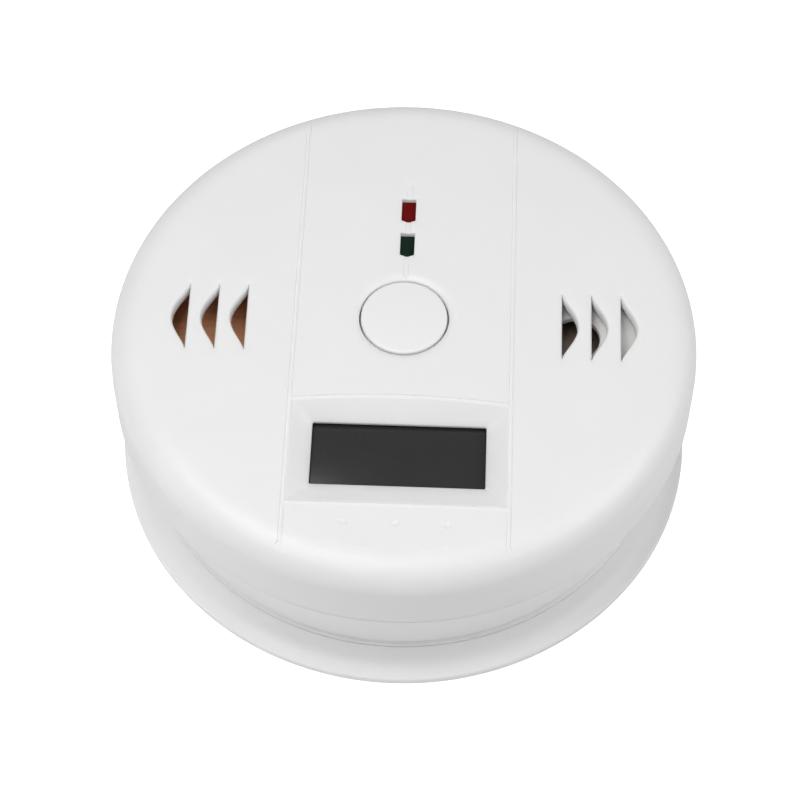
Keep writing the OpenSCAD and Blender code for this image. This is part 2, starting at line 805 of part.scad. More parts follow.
mounting_plate();
back_housing();
front_cover();
test_button();
switch_plunger();
switch_body();
switch_frame();
switch_legs();
lcd_glass();
lcd_holder();
lcd_contact_strips();
red_led();
green_led();
led_leads();
circuit_board();
board_screws();
housing_screws();
buzzer_cup();
piezo_disc();
piezo_ceramic();
piezo_contacts();
sensor_can();
sensor_gauze();
sensor_base();
sensor_pins();
controller_chip();
controller_pins();
amplifier_chip();
amplifier_pins();
crystal_can();
sounder_coil();
sounder_winding();
transistors();
electrolytic_capacitors();
ceramic_capacitors();
resistors();
component_leads();
trimmer();
battery_1();
battery_2();
battery_3();
battery_springs();
battery_contacts();
red_wire();
black_wire();
solder_joints();
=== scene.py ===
"""Looks of a round battery carbon monoxide alarm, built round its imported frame.

Lengths are in millimetres until a mesh is made. Origin at the middle of the wall plate's back face,
+Z out of the alarm's face, +Y towards the lamp windows.
"""

import math

import bmesh
import bpy
import numpy as np
from mathutils import Matrix, Vector
from mathutils.geometry import delaunay_2d_cdt


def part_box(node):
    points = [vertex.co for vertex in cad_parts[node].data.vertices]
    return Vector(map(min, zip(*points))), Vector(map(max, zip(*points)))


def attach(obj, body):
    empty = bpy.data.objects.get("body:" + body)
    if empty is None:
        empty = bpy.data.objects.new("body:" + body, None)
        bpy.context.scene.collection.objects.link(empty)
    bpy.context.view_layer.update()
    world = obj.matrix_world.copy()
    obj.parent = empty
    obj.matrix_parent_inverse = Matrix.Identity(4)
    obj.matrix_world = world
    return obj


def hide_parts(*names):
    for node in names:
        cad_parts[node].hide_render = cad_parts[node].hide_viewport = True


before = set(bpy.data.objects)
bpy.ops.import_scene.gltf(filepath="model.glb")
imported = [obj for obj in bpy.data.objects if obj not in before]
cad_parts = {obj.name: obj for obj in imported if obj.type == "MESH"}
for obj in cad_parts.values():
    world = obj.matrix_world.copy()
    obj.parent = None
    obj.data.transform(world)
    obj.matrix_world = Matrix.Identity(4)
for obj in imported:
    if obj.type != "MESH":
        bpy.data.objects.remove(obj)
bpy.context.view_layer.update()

MM = 0.001


def corners(node):
    """Lowest and highest corner of a CAD node in millimetres."""
    low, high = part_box(node)
    return low / MM, high / MM


def middle_of(node):
    """Middle of a CAD node's box in millimetres."""
    low, high = corners(node)
    return (low + high) / 2


def plan_middle(low, high):
    """Middle, seen from above, of the box between two corners."""
    return (low.x + high.x) / 2, (low.y + high.y) / 2


# ---------- sizes ----------

CASE_R = corners("front_cover")[1].x
SEAM_Z = corners("front_cover")[0].z
FACE_TOP = corners("front_cover")[1].z
DOME = 0.55
FACE_Z = FACE_TOP - DOME
SHOULDER_R = 5.3
FACE_R = 44.83
WALL = 2.0
FOOT_R = 45.9
RIM_R = corners("mounting_plate")[1].x
PLATE_H = 5.1
PLATE_FLOOR = 2.0
HOUSING_Z = corners("back_housing")[0].z
FLOOR_TOP = HOUSING_Z + WALL
CASE_STEPS = 256
CASE_TURNS = 2 * math.pi * np.arange(CASE_STEPS) / CASE_STEPS

STRIP_HALF_W = 18.4
STRIP_END_R = 46.5
LINE_HALF_W = 0.35
LINE_DEPTH = 0.26
WINDOW_HALF_W = 14.5
WINDOW_TOP_Y = -18.8
WINDOW_LOW_Y = -30.7
WINDOW_Z = 32.8
LIP_Z = 32.0
EDGE_T = 0.3
UNDERCUT = 1.2
BEZEL_HALF_W = STRIP_HALF_W - LINE_HALF_W
BEZEL_TOP_Y = -16.3
BEZEL_LOW_Y = -35.4
BEZEL_BOW = 1.0
BUTTON_R = 7.35
BUTTON_GAP = 0.3
BUTTON_Y = middle_of("test_button").y
DISH_R = 9.1
DISH_DEPTH = 0.5
VENT_FIRST_X = 26.8
VENT_PITCH = 5.0
VENT_LEN = 13.0
VENT_W = 2.7
VENT_Y = 0.4
VENT_FILLET = 0.6
LAMP_FILLET = 0.18
BUTTON_FILLET = 0.15
WINDOW_FILLET = 0.12
RED_Y = 23.9
GREEN_Y = 16.5
LAMP_W = 2.45
LAMP_L = 4.6
LAMP_BOW = 0.35
LAMP_LINE_END = 28.9
LAMP_FIT = 0.985
DIMPLE_Y = -39.0
DIMPLE_PITCH = 8.4
DIMPLE_BALL_R = 1.2
DIMPLE_LIFT = 0.92
PAD_HALF_W = STRIP_HALF_W + 1
PAD_LOW_Y = -38.0
PAD_TOP_Y = -14.0
ARROW_R = 43.4

BOARD_SCREWS = [(-20, 34), (20, 34), (-22.5, -32), (22.5, -32)]
SCREW_RING = [(40.5 * math.cos(a), 40.5 * math.sin(a)) for a in np.radians([45, 135, 225, 315])]
CELL_PITCH = 15.2


# ---------- nodes written as Python ----------

class Wire:
    """One output socket, so that maths on it reads as maths."""

    def __init__(self, graph, socket):
        self.graph = graph
        self.socket = socket

    def _math(self, operation, first, second):
        return self.graph.node("ShaderNodeMath", {"operation": operation}, {0: first, 1: second})

    def __add__(self, other):
        return self._math("ADD", self, other)

    def __radd__(self, other):
        return self._math("ADD", other, self)

    def __sub__(self, other):
        return self._math("SUBTRACT", self, other)

    def __rsub__(self, other):
        return self._math("SUBTRACT", other, self)

    def __mul__(self, other):
        return self._math("MULTIPLY", self, other)

    def __rmul__(self, other):
        return self._math("MULTIPLY", other, self)

    def __truediv__(self, other):
        return self._math("DIVIDE", self, other)

    def __rtruediv__(self, other):
        return self._math("DIVIDE", other, self)

    def __pow__(self, other):
        return self._math("POWER", self, other)

    def __lt__(self, other):
        return self._math("LESS_THAN", self, other)

    def __gt__(self, other):
        return self._math("GREATER_THAN", self, other)

    def __mod__(self, other):
        return self._math("FLOORED_MODULO", self, other)

    def at_least(self, other):
        return self._math("MAXIMUM", self, other)

    def at_most(self, other):
        return self._math("MINIMUM", self, other)


class Graph:
    """A node tree. Every node comes from node(), which sets its settings first and then its sockets."""

    def __init__(self, tree):
        self.tree = tree

    def node(self, kind, settings=None, sockets=None, out=0):
        made = self.tree.nodes.new(kind)
        for key, value in (settings or {}).items():
            if key == "stops":
                self._set_stops(made.color_ramp, value)
            else:
                setattr(made, key, value)
        for key, value in (sockets or {}).items():
            self.feed(made.inputs[key], value)
        return Wire(self, made.outputs[out]) if made.outputs else None

    def _set_stops(self, ramp, stops):
        for position, _ in stops[2:]:
            ramp.elements.new(position)
        for element, (position, value) in zip(ramp.elements, stops):
            element.position = position
            element.color = (value, value, value, 1) if isinstance(value, float) else (*value, 1)

    def feed(self, socket, value):
        if isinstance(value, Wire):
            self.tree.links.new(value.socket, socket)
        elif isinstance(value, tuple) and socket.type == "RGBA":
            socket.default_value = (*value, 1)
        else:
            socket.default_value = value


class Finish(Graph):
    """A material on one Principled shader."""

    def __init__(self, name):
        self.material = bpy.data.materials.new(name)
        self.material.use_nodes = True
        super().__init__(self.material.node_tree)
        self.tree.nodes.clear()
        surface = self.node("ShaderNodeBsdfPrincipled")
        self.shader = surface.socket.node
        self.node("ShaderNodeOutputMaterial", None, {"Surface": surface})
        self.spot = self.node("ShaderNodeTexCoord", out="Object")

    def set(self, **sockets):
        """Sets the shader's sockets, with _ for a space in a socket's name."""
        for key, value in sockets.items():
            self.feed(self.shader.inputs[key.replace("_", " ")], value)

    def noise(self, scale, detail=3.0, roughness=0.55, stretch=None):
        """Cloudy noise from 0 to 1; scale is in waves per metre, stretched by stretch along each axis."""
        spot = self.spot
        if stretch:
            spot = self.node("ShaderNodeMapping", None, {"Vector": spot, "Scale": stretch})
        return self.node("ShaderNodeTexNoise", None,
                         {"Vector": spot, "Scale": scale, "Detail": detail, "Roughness": roughness})

    def ramp(self, value, stops):
        return self.node("ShaderNodeValToRGB", {"stops": stops}, {"Fac": value})

    def blend(self, share, first, second):
        """A colour between two colours."""
        return self.node("ShaderNodeMix", {"data_type": "RGBA"}, {0: share, 6: first, 7: second}, out=2)

    def bump(self, height, depth, onto=None):
        """Raises the surface by depth millimetres where height is 1."""
        sockets = {"Height": height, "Distance": depth * MM, "Strength": 1.0}
        if onto:
            sockets["Normal"] = onto
        return self.node("ShaderNodeBump", None, sockets)

    def axis(self, which):
        """One of the object's own coordinates in millimetres."""
        return self.node("ShaderNodeSeparateXYZ", None, {"Vector": self.spot}, out=which) * (1 / MM)


def shade(colour, factor):
    return tuple(c * factor for c in colour)


# ---------- finishes ----------

def moulded_plastic(name, colour, grain=0.006, gloss=0.42, glow_through=0.0):
    """Moulded plastic with the fine eroded grain of its tool and a very slight unevenness of tone."""
    f = Finish(name)
    cloud = f.noise(55.0, 2.0)
    speck = f.noise(900.0, 4.0)
    grain_height = f.noise(4200.0, 2.0, 0.6)
    flow = f.noise(26.0, 1.0, stretch=(1.0, 1.0, 2.5))
    tone = f.blend(cloud, shade(colour, 1 - TONE_DEPTH), shade(colour, 1 + TONE_DEPTH * 0.6))
    tone = f.blend(speck * 0.25, tone, shade(colour, 1 - TONE_DEPTH * 1.6))
    fine = f.bump(grain_height, grain)
    f.set(Base_Color=tone, Roughness=gloss + (speck - 0.5) * 0.12 + (flow - 0.5) * 0.06,
          Normal=f.bump(flow, 0.03, fine))
    f.set(IOR=1.5, Subsurface_Weight=glow_through, Subsurface_Radius=(1.0, 1.0, 1.0), Subsurface_Scale=0.002)
    return f.material


def clear_faced_glass(name, colour):
    """Dark display glass: a grey polariser film under a smooth face, with a faint haze."""
    f = Finish(name)
    haze = f.noise(70.0, 3.0)
    film = f.noise(2600.0, 1.0, stretch=(1.0, 0.08, 1.0))
    dust = f.ramp(f.noise(1500.0, 2.0), [(0.0, 0.0), (0.72, 0.0), (0.80, 1.0)])
    tone = f.blend(haze, shade(colour, 0.9), shade(colour, 1.12))
    tone = f.blend(film * 0.2, tone, shade(colour, 1.35))
    tone = f.blend(dust * 0.08, tone, (0.32, 0.32, 0.31))
    f.set(Base_Color=tone, Roughness=0.16 + haze * 0.07 + dust * 0.25, Normal=f.bump(haze, 0.012))
    f.set(IOR=1.5)
    return f.material


def lamp_resin_shaded_at_base(name, colour, bright):
    """Tinted epoxy of an unlit lamp, with painted shade that darkens it towards its base."""
    f = Finish(name)
    cloud = f.noise(420.0, 2.0)
    skin = f.noise(2500.0, 2.0)
    low, high = corners("red_led")
    up = (f.axis(2) - low.z) * (1 / (high.z - low.z))
    # Painted shade: the lens darkens towards its base, where it sits down in the window hole.
    tone = f.blend(up.at_least(0.0).at_most(1.0) ** 6.0, shade(colour, 0.45), colour)
    tone = f.blend(cloud * 0.5, tone, bright)
    f.set(Base_Color=tone, Roughness=0.42 + skin * 0.14, Normal=f.bump(skin, 0.01))
    f.set(IOR=1.54, Specular_IOR_Level=LAMP_SHINE)
    return f.material


def bare_metal(name, colour, rough=0.3, brushed=(1.0, 1.0, 1.0), dull=0.25):
    """Plated or tinned metal: fine drawn lines, a soft dull film and small pits."""
    f = Finish(name)
    film = f.noise(180.0, 4.0)
    lines = f.noise(2400.0, 3.0, 0.7, stretch=brushed)
    pits = f.ramp(f.noise(5200.0, 2.0), [(0.0, 1.0), (0.26, 1.0), (0.34, 0.0)])
    tone = f.blend(film, shade(colour, 1 - dull), colour)
    tone = f.blend(pits * 0.35, tone, shade(colour, 0.5))
    f.set(Base_Color=tone, Roughness=rough + film * 0.15 + (lines - 0.5) * 0.2,
          Normal=f.bump(lines, 0.006))
    f.set(Metallic=1.0)
    return f.material


def pressed_board(name, colour):
    """Brown phenolic paper board: long paper fibres, cloudy resin and a slight sheen."""
    f = Finish(name)
    fibres = f.noise(1500.0, 4.0, 0.7, stretch=(0.14, 1.0, 1.0))
    cross = f.noise(1100.0, 3.0, 0.6, stretch=(1.0, 0.2, 1.0))
    cloud = f.noise(90.0, 3.0)
    tone = f.blend(cloud, shade(colour, 0.82), shade(colour, 1.16))
    tone = f.blend(f.ramp(fibres, [(0.35, 0.0), (0.75, 1.0)]) * 0.55, tone, shade(colour, 1.5))
    tone = f.blend(f.ramp(cross, [(0.3, 1.0), (0.5, 0.0)]) * 0.4, tone, shade(colour, 0.6))
    f.set(Base_Color=tone, Roughness=0.44 + fibres * 0.2, Normal=f.bump(fibres, 0.012))
    f.set(Specular_IOR_Level=0.4)
    return f.material


def moulded_resin(name, colour, rough=0.55, speckle=0.35):
    """Filled resin of chips, sleeves and coated parts: sandy grain with pale filler specks."""
    f = Finish(name)
    sand = f.noise(3800.0, 3.0, 0.7)
    cloud = f.noise(210.0, 2.0)
    specks = f.ramp(f.noise(2900.0, 1.0), [(0.0, 0.0), (0.66, 0.0), (0.74, 1.0)])
    tone = f.blend(cloud, shade(colour, 0.8), shade(colour, 1.25))
    tone = f.blend(specks * speckle, tone, tuple(min(1.0, c * 2 + 0.05) for c in colour))
    f.set(Base_Color=tone, Roughness=rough + (sand - 0.5) * 0.25, Normal=f.bump(sand, 0.012))
    f.set(Specular_IOR_Level=0.45)
    return f.material


def banded_resistor(name):
    """Tan resistor coat with four painted bands, along the piece's own length."""
    f = Finish(name)
    along = f.node("ShaderNodeAttribute", {"attribute_name": "along"}, out="Fac")
    skin = f.noise(2600.0, 3.0)
    cloud = f.noise(500.0, 2.0)
    tone = f.blend(cloud, (0.50, 0.33, 0.17), (0.62, 0.44, 0.25))
    for place, paint in ((0.2, (0.16, 0.05, 0.02)), (0.38, (0.02, 0.02, 0.02)),
                         (0.54, (0.55, 0.10, 0.02)), (0.8, (0.52, 0.36, 0.08))):
        band = (along - place + 0.035 > 0.0) * (along - place - 0.035 < 0.0)
        tone = f.blend(band, tone, paint)
    f.set(Base_Color=tone, Roughness=0.3 + skin * 0.2, Normal=f.bump(skin, 0.02))
    return f.material


def cell_jacket(name):
    """Printed shrink jacket of an AA cell: a dark body, a copper end and a bare steel button."""
    f = Finish(name)
    along = f.node("ShaderNodeAttribute", {"attribute_name": "along"}, out="Fac")
    crinkle = f.noise(700.0, 4.0, stretch=(0.25, 1.0, 1.0))
    sheen = f.noise(120.0, 2.0)
    dark = f.blend(sheen, (0.012, 0.013, 0.016), (0.03, 0.031, 0.036))
    copper = f.blend(crinkle, (0.42, 0.17, 0.055), (0.60, 0.27, 0.10))
    tone = f.blend(along > 0.68, dark, copper)
    ring = (along > 0.665) * (along < 0.68)
    tone = f.blend(ring, tone, (0.70, 0.66, 0.58))
    metal = (along > 0.965).at_least(along < 0.012)
    tone = f.blend(metal, tone, (0.62, 0.61, 0.59))
    f.set(Base_Color=tone, Metallic=metal.at_least((along > 0.665) * 0.75),
          Roughness=0.24 + crinkle * 0.16, Normal=f.bump(crinkle, 0.02))
    return f.material


def wound_copper_with_groove_shade(name, colour):
    """Enamelled copper turns, one beside the next, with painted shade in the grooves between them."""
    f = Finish(name)
    turns = f.node("ShaderNodeTexWave", {"wave_type": "BANDS", "bands_direction": "Z"},
                   {"Vector": f.spot, "Scale": 1600.0, "Distortion": 0.4, "Detail": 1.0}, out=1)
    cloud = f.noise(300.0, 3.0)
    # Painted shade: the grooves between turns are darkened to about a third of the copper's colour.
    tone = f.blend(turns, shade(colour, 0.35), colour)
    tone = f.blend(cloud * 0.4, tone, shade(colour, 1.25))
    f.set(Base_Color=tone, Roughness=0.32 + cloud * 0.15, Normal=f.bump(turns, 0.08),
          Metallic=turns * 0.6 + 0.3)
    return f.material


def banded_rubber(name):
    """Display contact strip: thin dark carbon layers in pale silicone."""
    f = Finish(name)
    layers = f.node("ShaderNodeTexWave", {"wave_type": "BANDS", "bands_direction": "X"},
                    {"Vector": f.spot, "Scale": 1100.0, "Distortion": 0.3}, out=1)
    cloud = f.noise(400.0, 3.0)
    tone = f.blend(f.ramp(layers, [(0.4, 0.0), (0.55, 1.0)]), (0.62, 0.60, 0.58), (0.05, 0.05, 0.055))
    tone = f.blend(cloud * 0.3, tone, (0.45, 0.44, 0.43))
    f.set(Base_Color=tone, Roughness=0.6 + cloud * 0.15, Normal=f.bump(cloud, 0.01))
    return f.material


def pale_floor(name, glow):
    """Even pale studio floor; with some glow, shadows on it stay faint."""
    f = Finish(name)
    cloud = f.noise(6.0, 2.0)
    f.set(Base_Color=f.blend(cloud, (0.93, 0.93, 0.93), (0.95, 0.95, 0.95)), Roughness=0.9 + cloud * 0.05)
    f.set(Specular_IOR_Level=0.1, Emission_Color=(1.0, 1.0, 1.0), Emission_Strength=glow)
    return f.material


LAMP_SHINE = 0.08
TONE_DEPTH = 0.03
FLOOR_GLOW = 0.75
WHITE = (0.86, 0.86, 0.86)

FINISHES = {
    "plate_plastic": moulded_plastic("plate_white_abs", shade(WHITE, 1.03), gloss=0.45),
    "housing_plastic": moulded_plastic("housing_white_abs", WHITE, gloss=0.45),
    "cover_plastic": moulded_plastic("cover_white_abs", WHITE, glow_through=0.3),
    "button_plastic": moulded_plastic("button_white_abs", shade(WHITE, 1.01), gloss=0.38),
    "switch_black": moulded_resin("switch_black_nylon", (0.02, 0.02, 0.021), 0.5, 0.1),
    "plated_steel": bare_metal("nickel_plated_steel", (0.66, 0.64, 0.60), 0.28),
    "tinned_metal": bare_metal("tinned_lead_wire", (0.72, 0.71, 0.68), 0.34, (1.0, 1.0, 0.2)),
    "lcd_glass": clear_faced_glass("display_glass", (0.026, 0.026, 0.0255)),
    "holder_plastic": moulded_plastic("holder_white_abs", (0.70, 0.70, 0.68), gloss=0.5),
    "contact_rubber": banded_rubber("display_contact_rubber"),
    "red_lens": lamp_resin_shaded_at_base("red_lamp_epoxy", (0.11, 0.0015, 0.001), (0.19, 0.004, 0.003)),
    "green_lens": lamp_resin_shaded_at_base("green_lamp_epoxy", (0.005, 0.016, 0.009), (0.010, 0.032, 0.018)),
    "phenolic_board": pressed_board("brown_phenolic_board", (0.84, 0.40, 0.21)),
    "screw_steel": bare_metal("zinc_screw_steel", (0.60, 0.59, 0.57), 0.32, dull=0.35),
    "buzzer_plastic": moulded_plastic("sounder_cup_white", (0.86, 0.86, 0.84), gloss=0.4),
    # Brass darkened to the dark brown it shows in the shade of the sounder's port: partly brass, partly
    # painted shade.
    "brass_disc": bare_metal("sounder_disc_brass", (0.46, 0.36, 0.30), 0.38, (0.3, 1.0, 1.0)),
    "ceramic": moulded_resin("sounder_ceramic", (0.62, 0.61, 0.56), 0.5, 0.15),
    "gold_contact": bare_metal("gold_flashed_contact", (0.83, 0.62, 0.27), 0.22),
    "gauze_steel": bare_metal("woven_gauze_steel", (0.52, 0.51, 0.49), 0.38),
    "base_resin": moulded_resin("sensor_base_resin", (0.20, 0.09, 0.045), 0.5, 0.2),
    "chip_resin": moulded_resin("chip_epoxy", (0.016, 0.016, 0.018), 0.6, 0.25),
    "ferrite": moulded_resin("coil_ferrite", (0.045, 0.044, 0.048), 0.6, 0.3),
    "copper_wire": wound_copper_with_groove_shade("enamelled_copper", (0.55, 0.20, 0.08)),
    "capacitor_sleeve": moulded_plastic("capacitor_blue_sleeve", (0.012, 0.022, 0.09), 0.004, 0.3),
    "capacitor_resin": moulded_resin("disc_capacitor_coat", (0.52, 0.25, 0.08), 0.4, 0.15),
    "resistor_coat": banded_resistor("resistor_coat_with_bands"),
    "trimmer_blue": moulded_plastic("trimmer_blue_plastic", (0.03, 0.12, 0.45), grain=0.004, gloss=0.36),
    "cell_jacket": cell_jacket("cell_shrink_jacket"),
    "spring_wire": bare_metal("nickel_spring_wire", (0.68, 0.67, 0.64), 0.22, (0.2, 1.0, 1.0)),
    "contact_plate": bare_metal("battery_contact_plate", (0.70, 0.69, 0.66), 0.3, (1.0, 1.0, 0.15)),
    "red_insulation": moulded_plastic("red_wire_pvc", (0.45, 0.012, 0.010), grain=0.003, gloss=0.36),
    "black_insulation": moulded_plastic("black_wire_pvc", (0.014, 0.014, 0.015), grain=0.003, gloss=0.36),
    "solder": bare_metal("solder_joint_tin", (0.74, 0.74, 0.73), 0.2),
}

# ---------- outlines ----------

def arc(centre, r, start, end, steps):
    """Points on an arc, angles in degrees."""
    angles = np.radians(np.linspace(start, end, steps + 1))
    return [(centre[0] + r * math.cos(a), centre[1] + r * math.sin(a)) for a in angles]


def rounded(corner_list, r, steps=4):
    """A closed outline with its corners rounded to r, or to a corner's own third value."""
    out = []
    n = len(corner_list)
    for i, corner in enumerate(corner_list):
        here = Vector(corner[:2])
        a = (Vector(corner_list[i - 1][:2]) - here)
        b = (Vector(corner_list[(i + 1) % n][:2]) - here)
        size = corner[2] if len(corner) > 2 else r
        if size <= 0:
            out.append(tuple(here))
            continue
        half = a.angle(b) / 2
        reach = min(size / math.tan(half), a.length * 0.49, b.length * 0.49)
        start = here + a.normalized() * reach
        end = here + b.normalized() * reach
        for k in range(steps + 1):
            t = k / steps
            out.append(tuple(start * (1 - t) ** 2 + here * (2 * t * (1 - t)) + end * t ** 2))
    return out


def trail(points, step, closed=False):
    """The same line with points no further apart than step."""
    pairs = list(zip(points, points[1:] + points[:1] if closed else points[1:]))
    out = []
    for (ax, ay), (bx, by) in pairs:
        count = max(1, math.ceil(math.hypot(bx - ax, by - ay) / step))
        out += [(ax + (bx - ax) * k / count, ay + (by - ay) * k / count) for k in range(count)]
    return out if closed else out + [points[-1]]


def grown(loop, by):
    """An anticlockwise loop moved outwards, round at its sharp corners."""
    out = []
    n = len(loop)
    for i in range(n):
        before, here, after = (Vector(loop[j % n]) for j in (i - 1, i, i + 1))
        first = (here - before).normalized()
        second = (after - here).normalized()
        a = Vector((first.y, -first.x))
        b = Vector((second.y, -second.x))
        turn = math.atan2(a.x * b.y - a.y * b.x, a.dot(b))
        if turn > 0.3:
            count = math.ceil(turn / 0.3)
            for k in range(count + 1):
                out.append(tuple(here + by * (Matrix.Rotation(turn * k / count, 2) @ a)))
        else:
            out.append(tuple(here + (a + b).normalized() * (by / max(0.6, math.cos(turn / 2)))))
    return out


def nearest(points, line, closed=True):
    """Distance from each point to a line of points."""
    best = np.full(len(points), 1e9)
    ends = np.array(line, float)
    starts = ends if closed else ends[:-1]
    ends = np.roll(ends, -1, 0) if closed else ends[1:]
    for a, b in zip(starts, ends):
        d = b - a
        t = np.clip(((points - a) @ d) / max(d @ d, 1e-12), 0, 1)
        gap = points - a - t[:, None] * d
        best = np.minimum(best, np.einsum("ij,ij->i", gap, gap))
    return np.sqrt(best)


def inside(points, loop):
    """Which points lie inside a closed loop."""
    ring = np.array(loop, float)
    hit = np.zeros(len(points), bool)
    for (ax, ay), (bx, by) in zip(ring, np.roll(ring, -1, 0)):
        if ay == by:
            continue
        crosses = (points[:, 1] < ay) != (points[:, 1] < by)
        hit ^= crosses & (points[:, 0] < ax + (points[:, 1] - ay) * (bx - ax) / (by - ay))
    return hit


def vent_loop(side, number):
    """Outline of one vent slot: a straight side and a side that swells like a flame."""
    steps = 22
    ups = [-math.cos(math.pi * k / steps) for k in range(steps + 1)]
    straight_x = VENT_FIRST_X + number * VENT_PITCH
    swell = [(straight_x + VENT_W * max(0.0, math.cos(math.pi / 2 * u)) ** 1.4, VENT_Y + VENT_LEN / 2 * u)
             for u in ups]
    back = trail([swell[-1], swell[0]], 0.7)[1:-1]
    loop = swell + back
    if side < 0:
        loop = [(-x, y) for x, y in reversed(loop)]
    return loop


def lamp_loop(y):
    """Outline of a lamp window: square at its far end, bowed at its near end."""
    half = LAMP_W / 2
    low = y - LAMP_L / 2
    bow_r = (half ** 2 + LAMP_BOW ** 2) / (2 * LAMP_BOW)
    reach = math.degrees(math.asin(half / bow_r))
    near = arc((0, low - LAMP_BOW + bow_r), bow_r, 270 - reach, 270 + reach, 8)
    return trail(near + [(half, y + LAMP_L / 2), (-half, y + LAMP_L / 2)], 0.35, True)


# ---------- mesh helpers ----------

def plain_mesh(name, verts, faces):
    mesh = bpy.data.meshes.new(name)
    mesh.from_pydata([Vector(v) * MM for v in verts], [], faces)
    return mesh


def tidy_normals(mesh, weld=0.002):
    """Welds doubles and turns every face outwards."""
    bm = bmesh.new()
    bm.from_mesh(mesh)
    if weld:
        bmesh.ops.remove_doubles(bm, verts=bm.verts, dist=weld * MM)
        bmesh.ops.dissolve_degenerate(bm, dist=1e-8, edges=bm.edges)
    bmesh.ops.recalc_face_normals(bm, faces=bm.faces)
    bm.to_mesh(mesh)
    bm.free()
    mesh.update()


def smooth_but_sharp(mesh, angle=35):
    mesh.shade_smooth()
    mesh.set_sharp_from_angle(angle=math.radians(angle))


def fit_out(obj, body, slot_name, stands_for=(), angle=35):
    """Gives a finished piece its material, its body and the CAD nodes that it stands for."""
    smooth_but_sharp(obj.data, angle)
    obj.data.materials.clear()
    obj.data.materials.append(FINISHES[slot_name])
    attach(obj, body)
    if stands_for:
        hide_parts(*stands_for)
    return obj


def fit_turned(name, outline, slot_name, centre, steps, node, closed=False, angle=35):
    """A lathe-turned piece on the case, in the place of one CAD node."""
    made = turned(name, outline, slot_name, centre, steps, closed)
    fit_out(made, "case", slot_name, [node], angle=angle)


def fit_repeated(name, pattern, places, slot_name, node, angle=40, **how):
    """Copies of a pattern on the case, in the place of one CAD node."""
    made = repeated(name, pattern, places, slot_name, **how)
    fit_out(made, "case", slot_name, [node], angle=angle)


def as_object(name, mesh):
    obj = bpy.data.objects.new(name, mesh)
    bpy.context.scene.collection.objects.link(obj)
    return obj


def discard(*objects):
    for obj in objects:
        bpy.data.objects.remove(obj)


def evaluated_copy(obj, name):
    """The object's mesh with its modifiers worked in, as a new plain object."""
    graph = bpy.context.evaluated_depsgraph_get()
    mesh = bpy.data.meshes.new_from_object(obj.evaluated_get(graph), preserve_all_data_layers=True,
                                           depsgraph=graph)
    mesh.name = name
    return as_object(name, mesh)


# ---------- geometry node trees ----------

def start_tree(name, sizes):
    """A new tree with a Geometry input, a named input for each size, and a Geometry output."""
    tree = bpy.data.node_groups.new(name, "GeometryNodeTree")
    tree.interface.new_socket("Geometry", in_out="INPUT", socket_type="NodeSocketGeometry")
    for label, kind in sizes.items():
        tree.interface.new_socket(label, in_out="INPUT", socket_type=kind)
    tree.interface.new_socket("Finish", in_out="INPUT", socket_type="NodeSocketMaterial")
    tree.interface.new_socket("Geometry", in_out="OUTPUT", socket_type="NodeSocketGeometry")
    graph = Graph(tree)
    given = graph.node("NodeGroupInput").socket.node
    graph.given = {s.name: Wire(graph, s) for s in given.outputs if s.name}
    return graph


def close_tree(graph, made):
    realized = graph.node("GeometryNodeRealizeInstances", None, {"Geometry": made})
    painted = graph.node("GeometryNodeSetMaterial", None,
                         {"Geometry": realized, "Material": graph.given["Finish"]})
    graph.node("NodeGroupOutput", None, {"Geometry": painted})
    return graph.tree


def run_tree(tree, name, mesh, sizes, finish):
    """Runs a tree on a mesh and returns the result as a plain object."""
    holder = as_object(name + "_start", mesh)
    modifier = holder.modifiers.new("made", "NODES")
    modifier.node_group = tree
    sockets = {i.name: i.identifier for i in tree.interface.items_tree
               if i.item_type == "SOCKET" and i.in_out == "INPUT"}
    for label, value in {**sizes, "Finish": finish}.items():
        modifier[sockets[label]] = value
    made = evaluated_copy(holder, name)
    discard(holder)
    return made


def turned_tree():
    """Turns an outline round the Z axis. The outline lies in the XY plane, x out and y up."""
    g = start_tree("turned_round", {"Steps": "NodeSocketInt", "Path radius": "NodeSocketFloat"})
    path = g.node("GeometryNodeCurvePrimitiveCircle", {"mode": "RADIUS"},
                  {"Resolution": g.given["Steps"], "Radius": g.given["Path radius"]})
    outline = g.node("GeometryNodeMeshToCurve", None, {"Mesh": g.given["Geometry"]})
    swept = g.node("GeometryNodeCurveToMesh", None, {"Curve": path, "Profile Curve": outline})
    welded = g.node("GeometryNodeMergeByDistance", None, {"Geometry": swept, "Distance": 1e-6})
    return close_tree(g, welded)


def strand_tree():
    """Makes each edge line a round strand with closed ends."""
    g = start_tree("round_strands", {"Strand radius": "NodeSocketFloat", "Sides": "NodeSocketInt"})
    line = g.node("GeometryNodeMeshToCurve", None, {"Mesh": g.given["Geometry"]})
    section = g.node("GeometryNodeCurvePrimitiveCircle", {"mode": "RADIUS"},
                     {"Resolution": g.given["Sides"], "Radius": g.given["Strand radius"]})
    swept = g.node("GeometryNodeCurveToMesh", None,
                   {"Curve": line, "Profile Curve": section, "Fill Caps": True})
    return close_tree(g, swept)


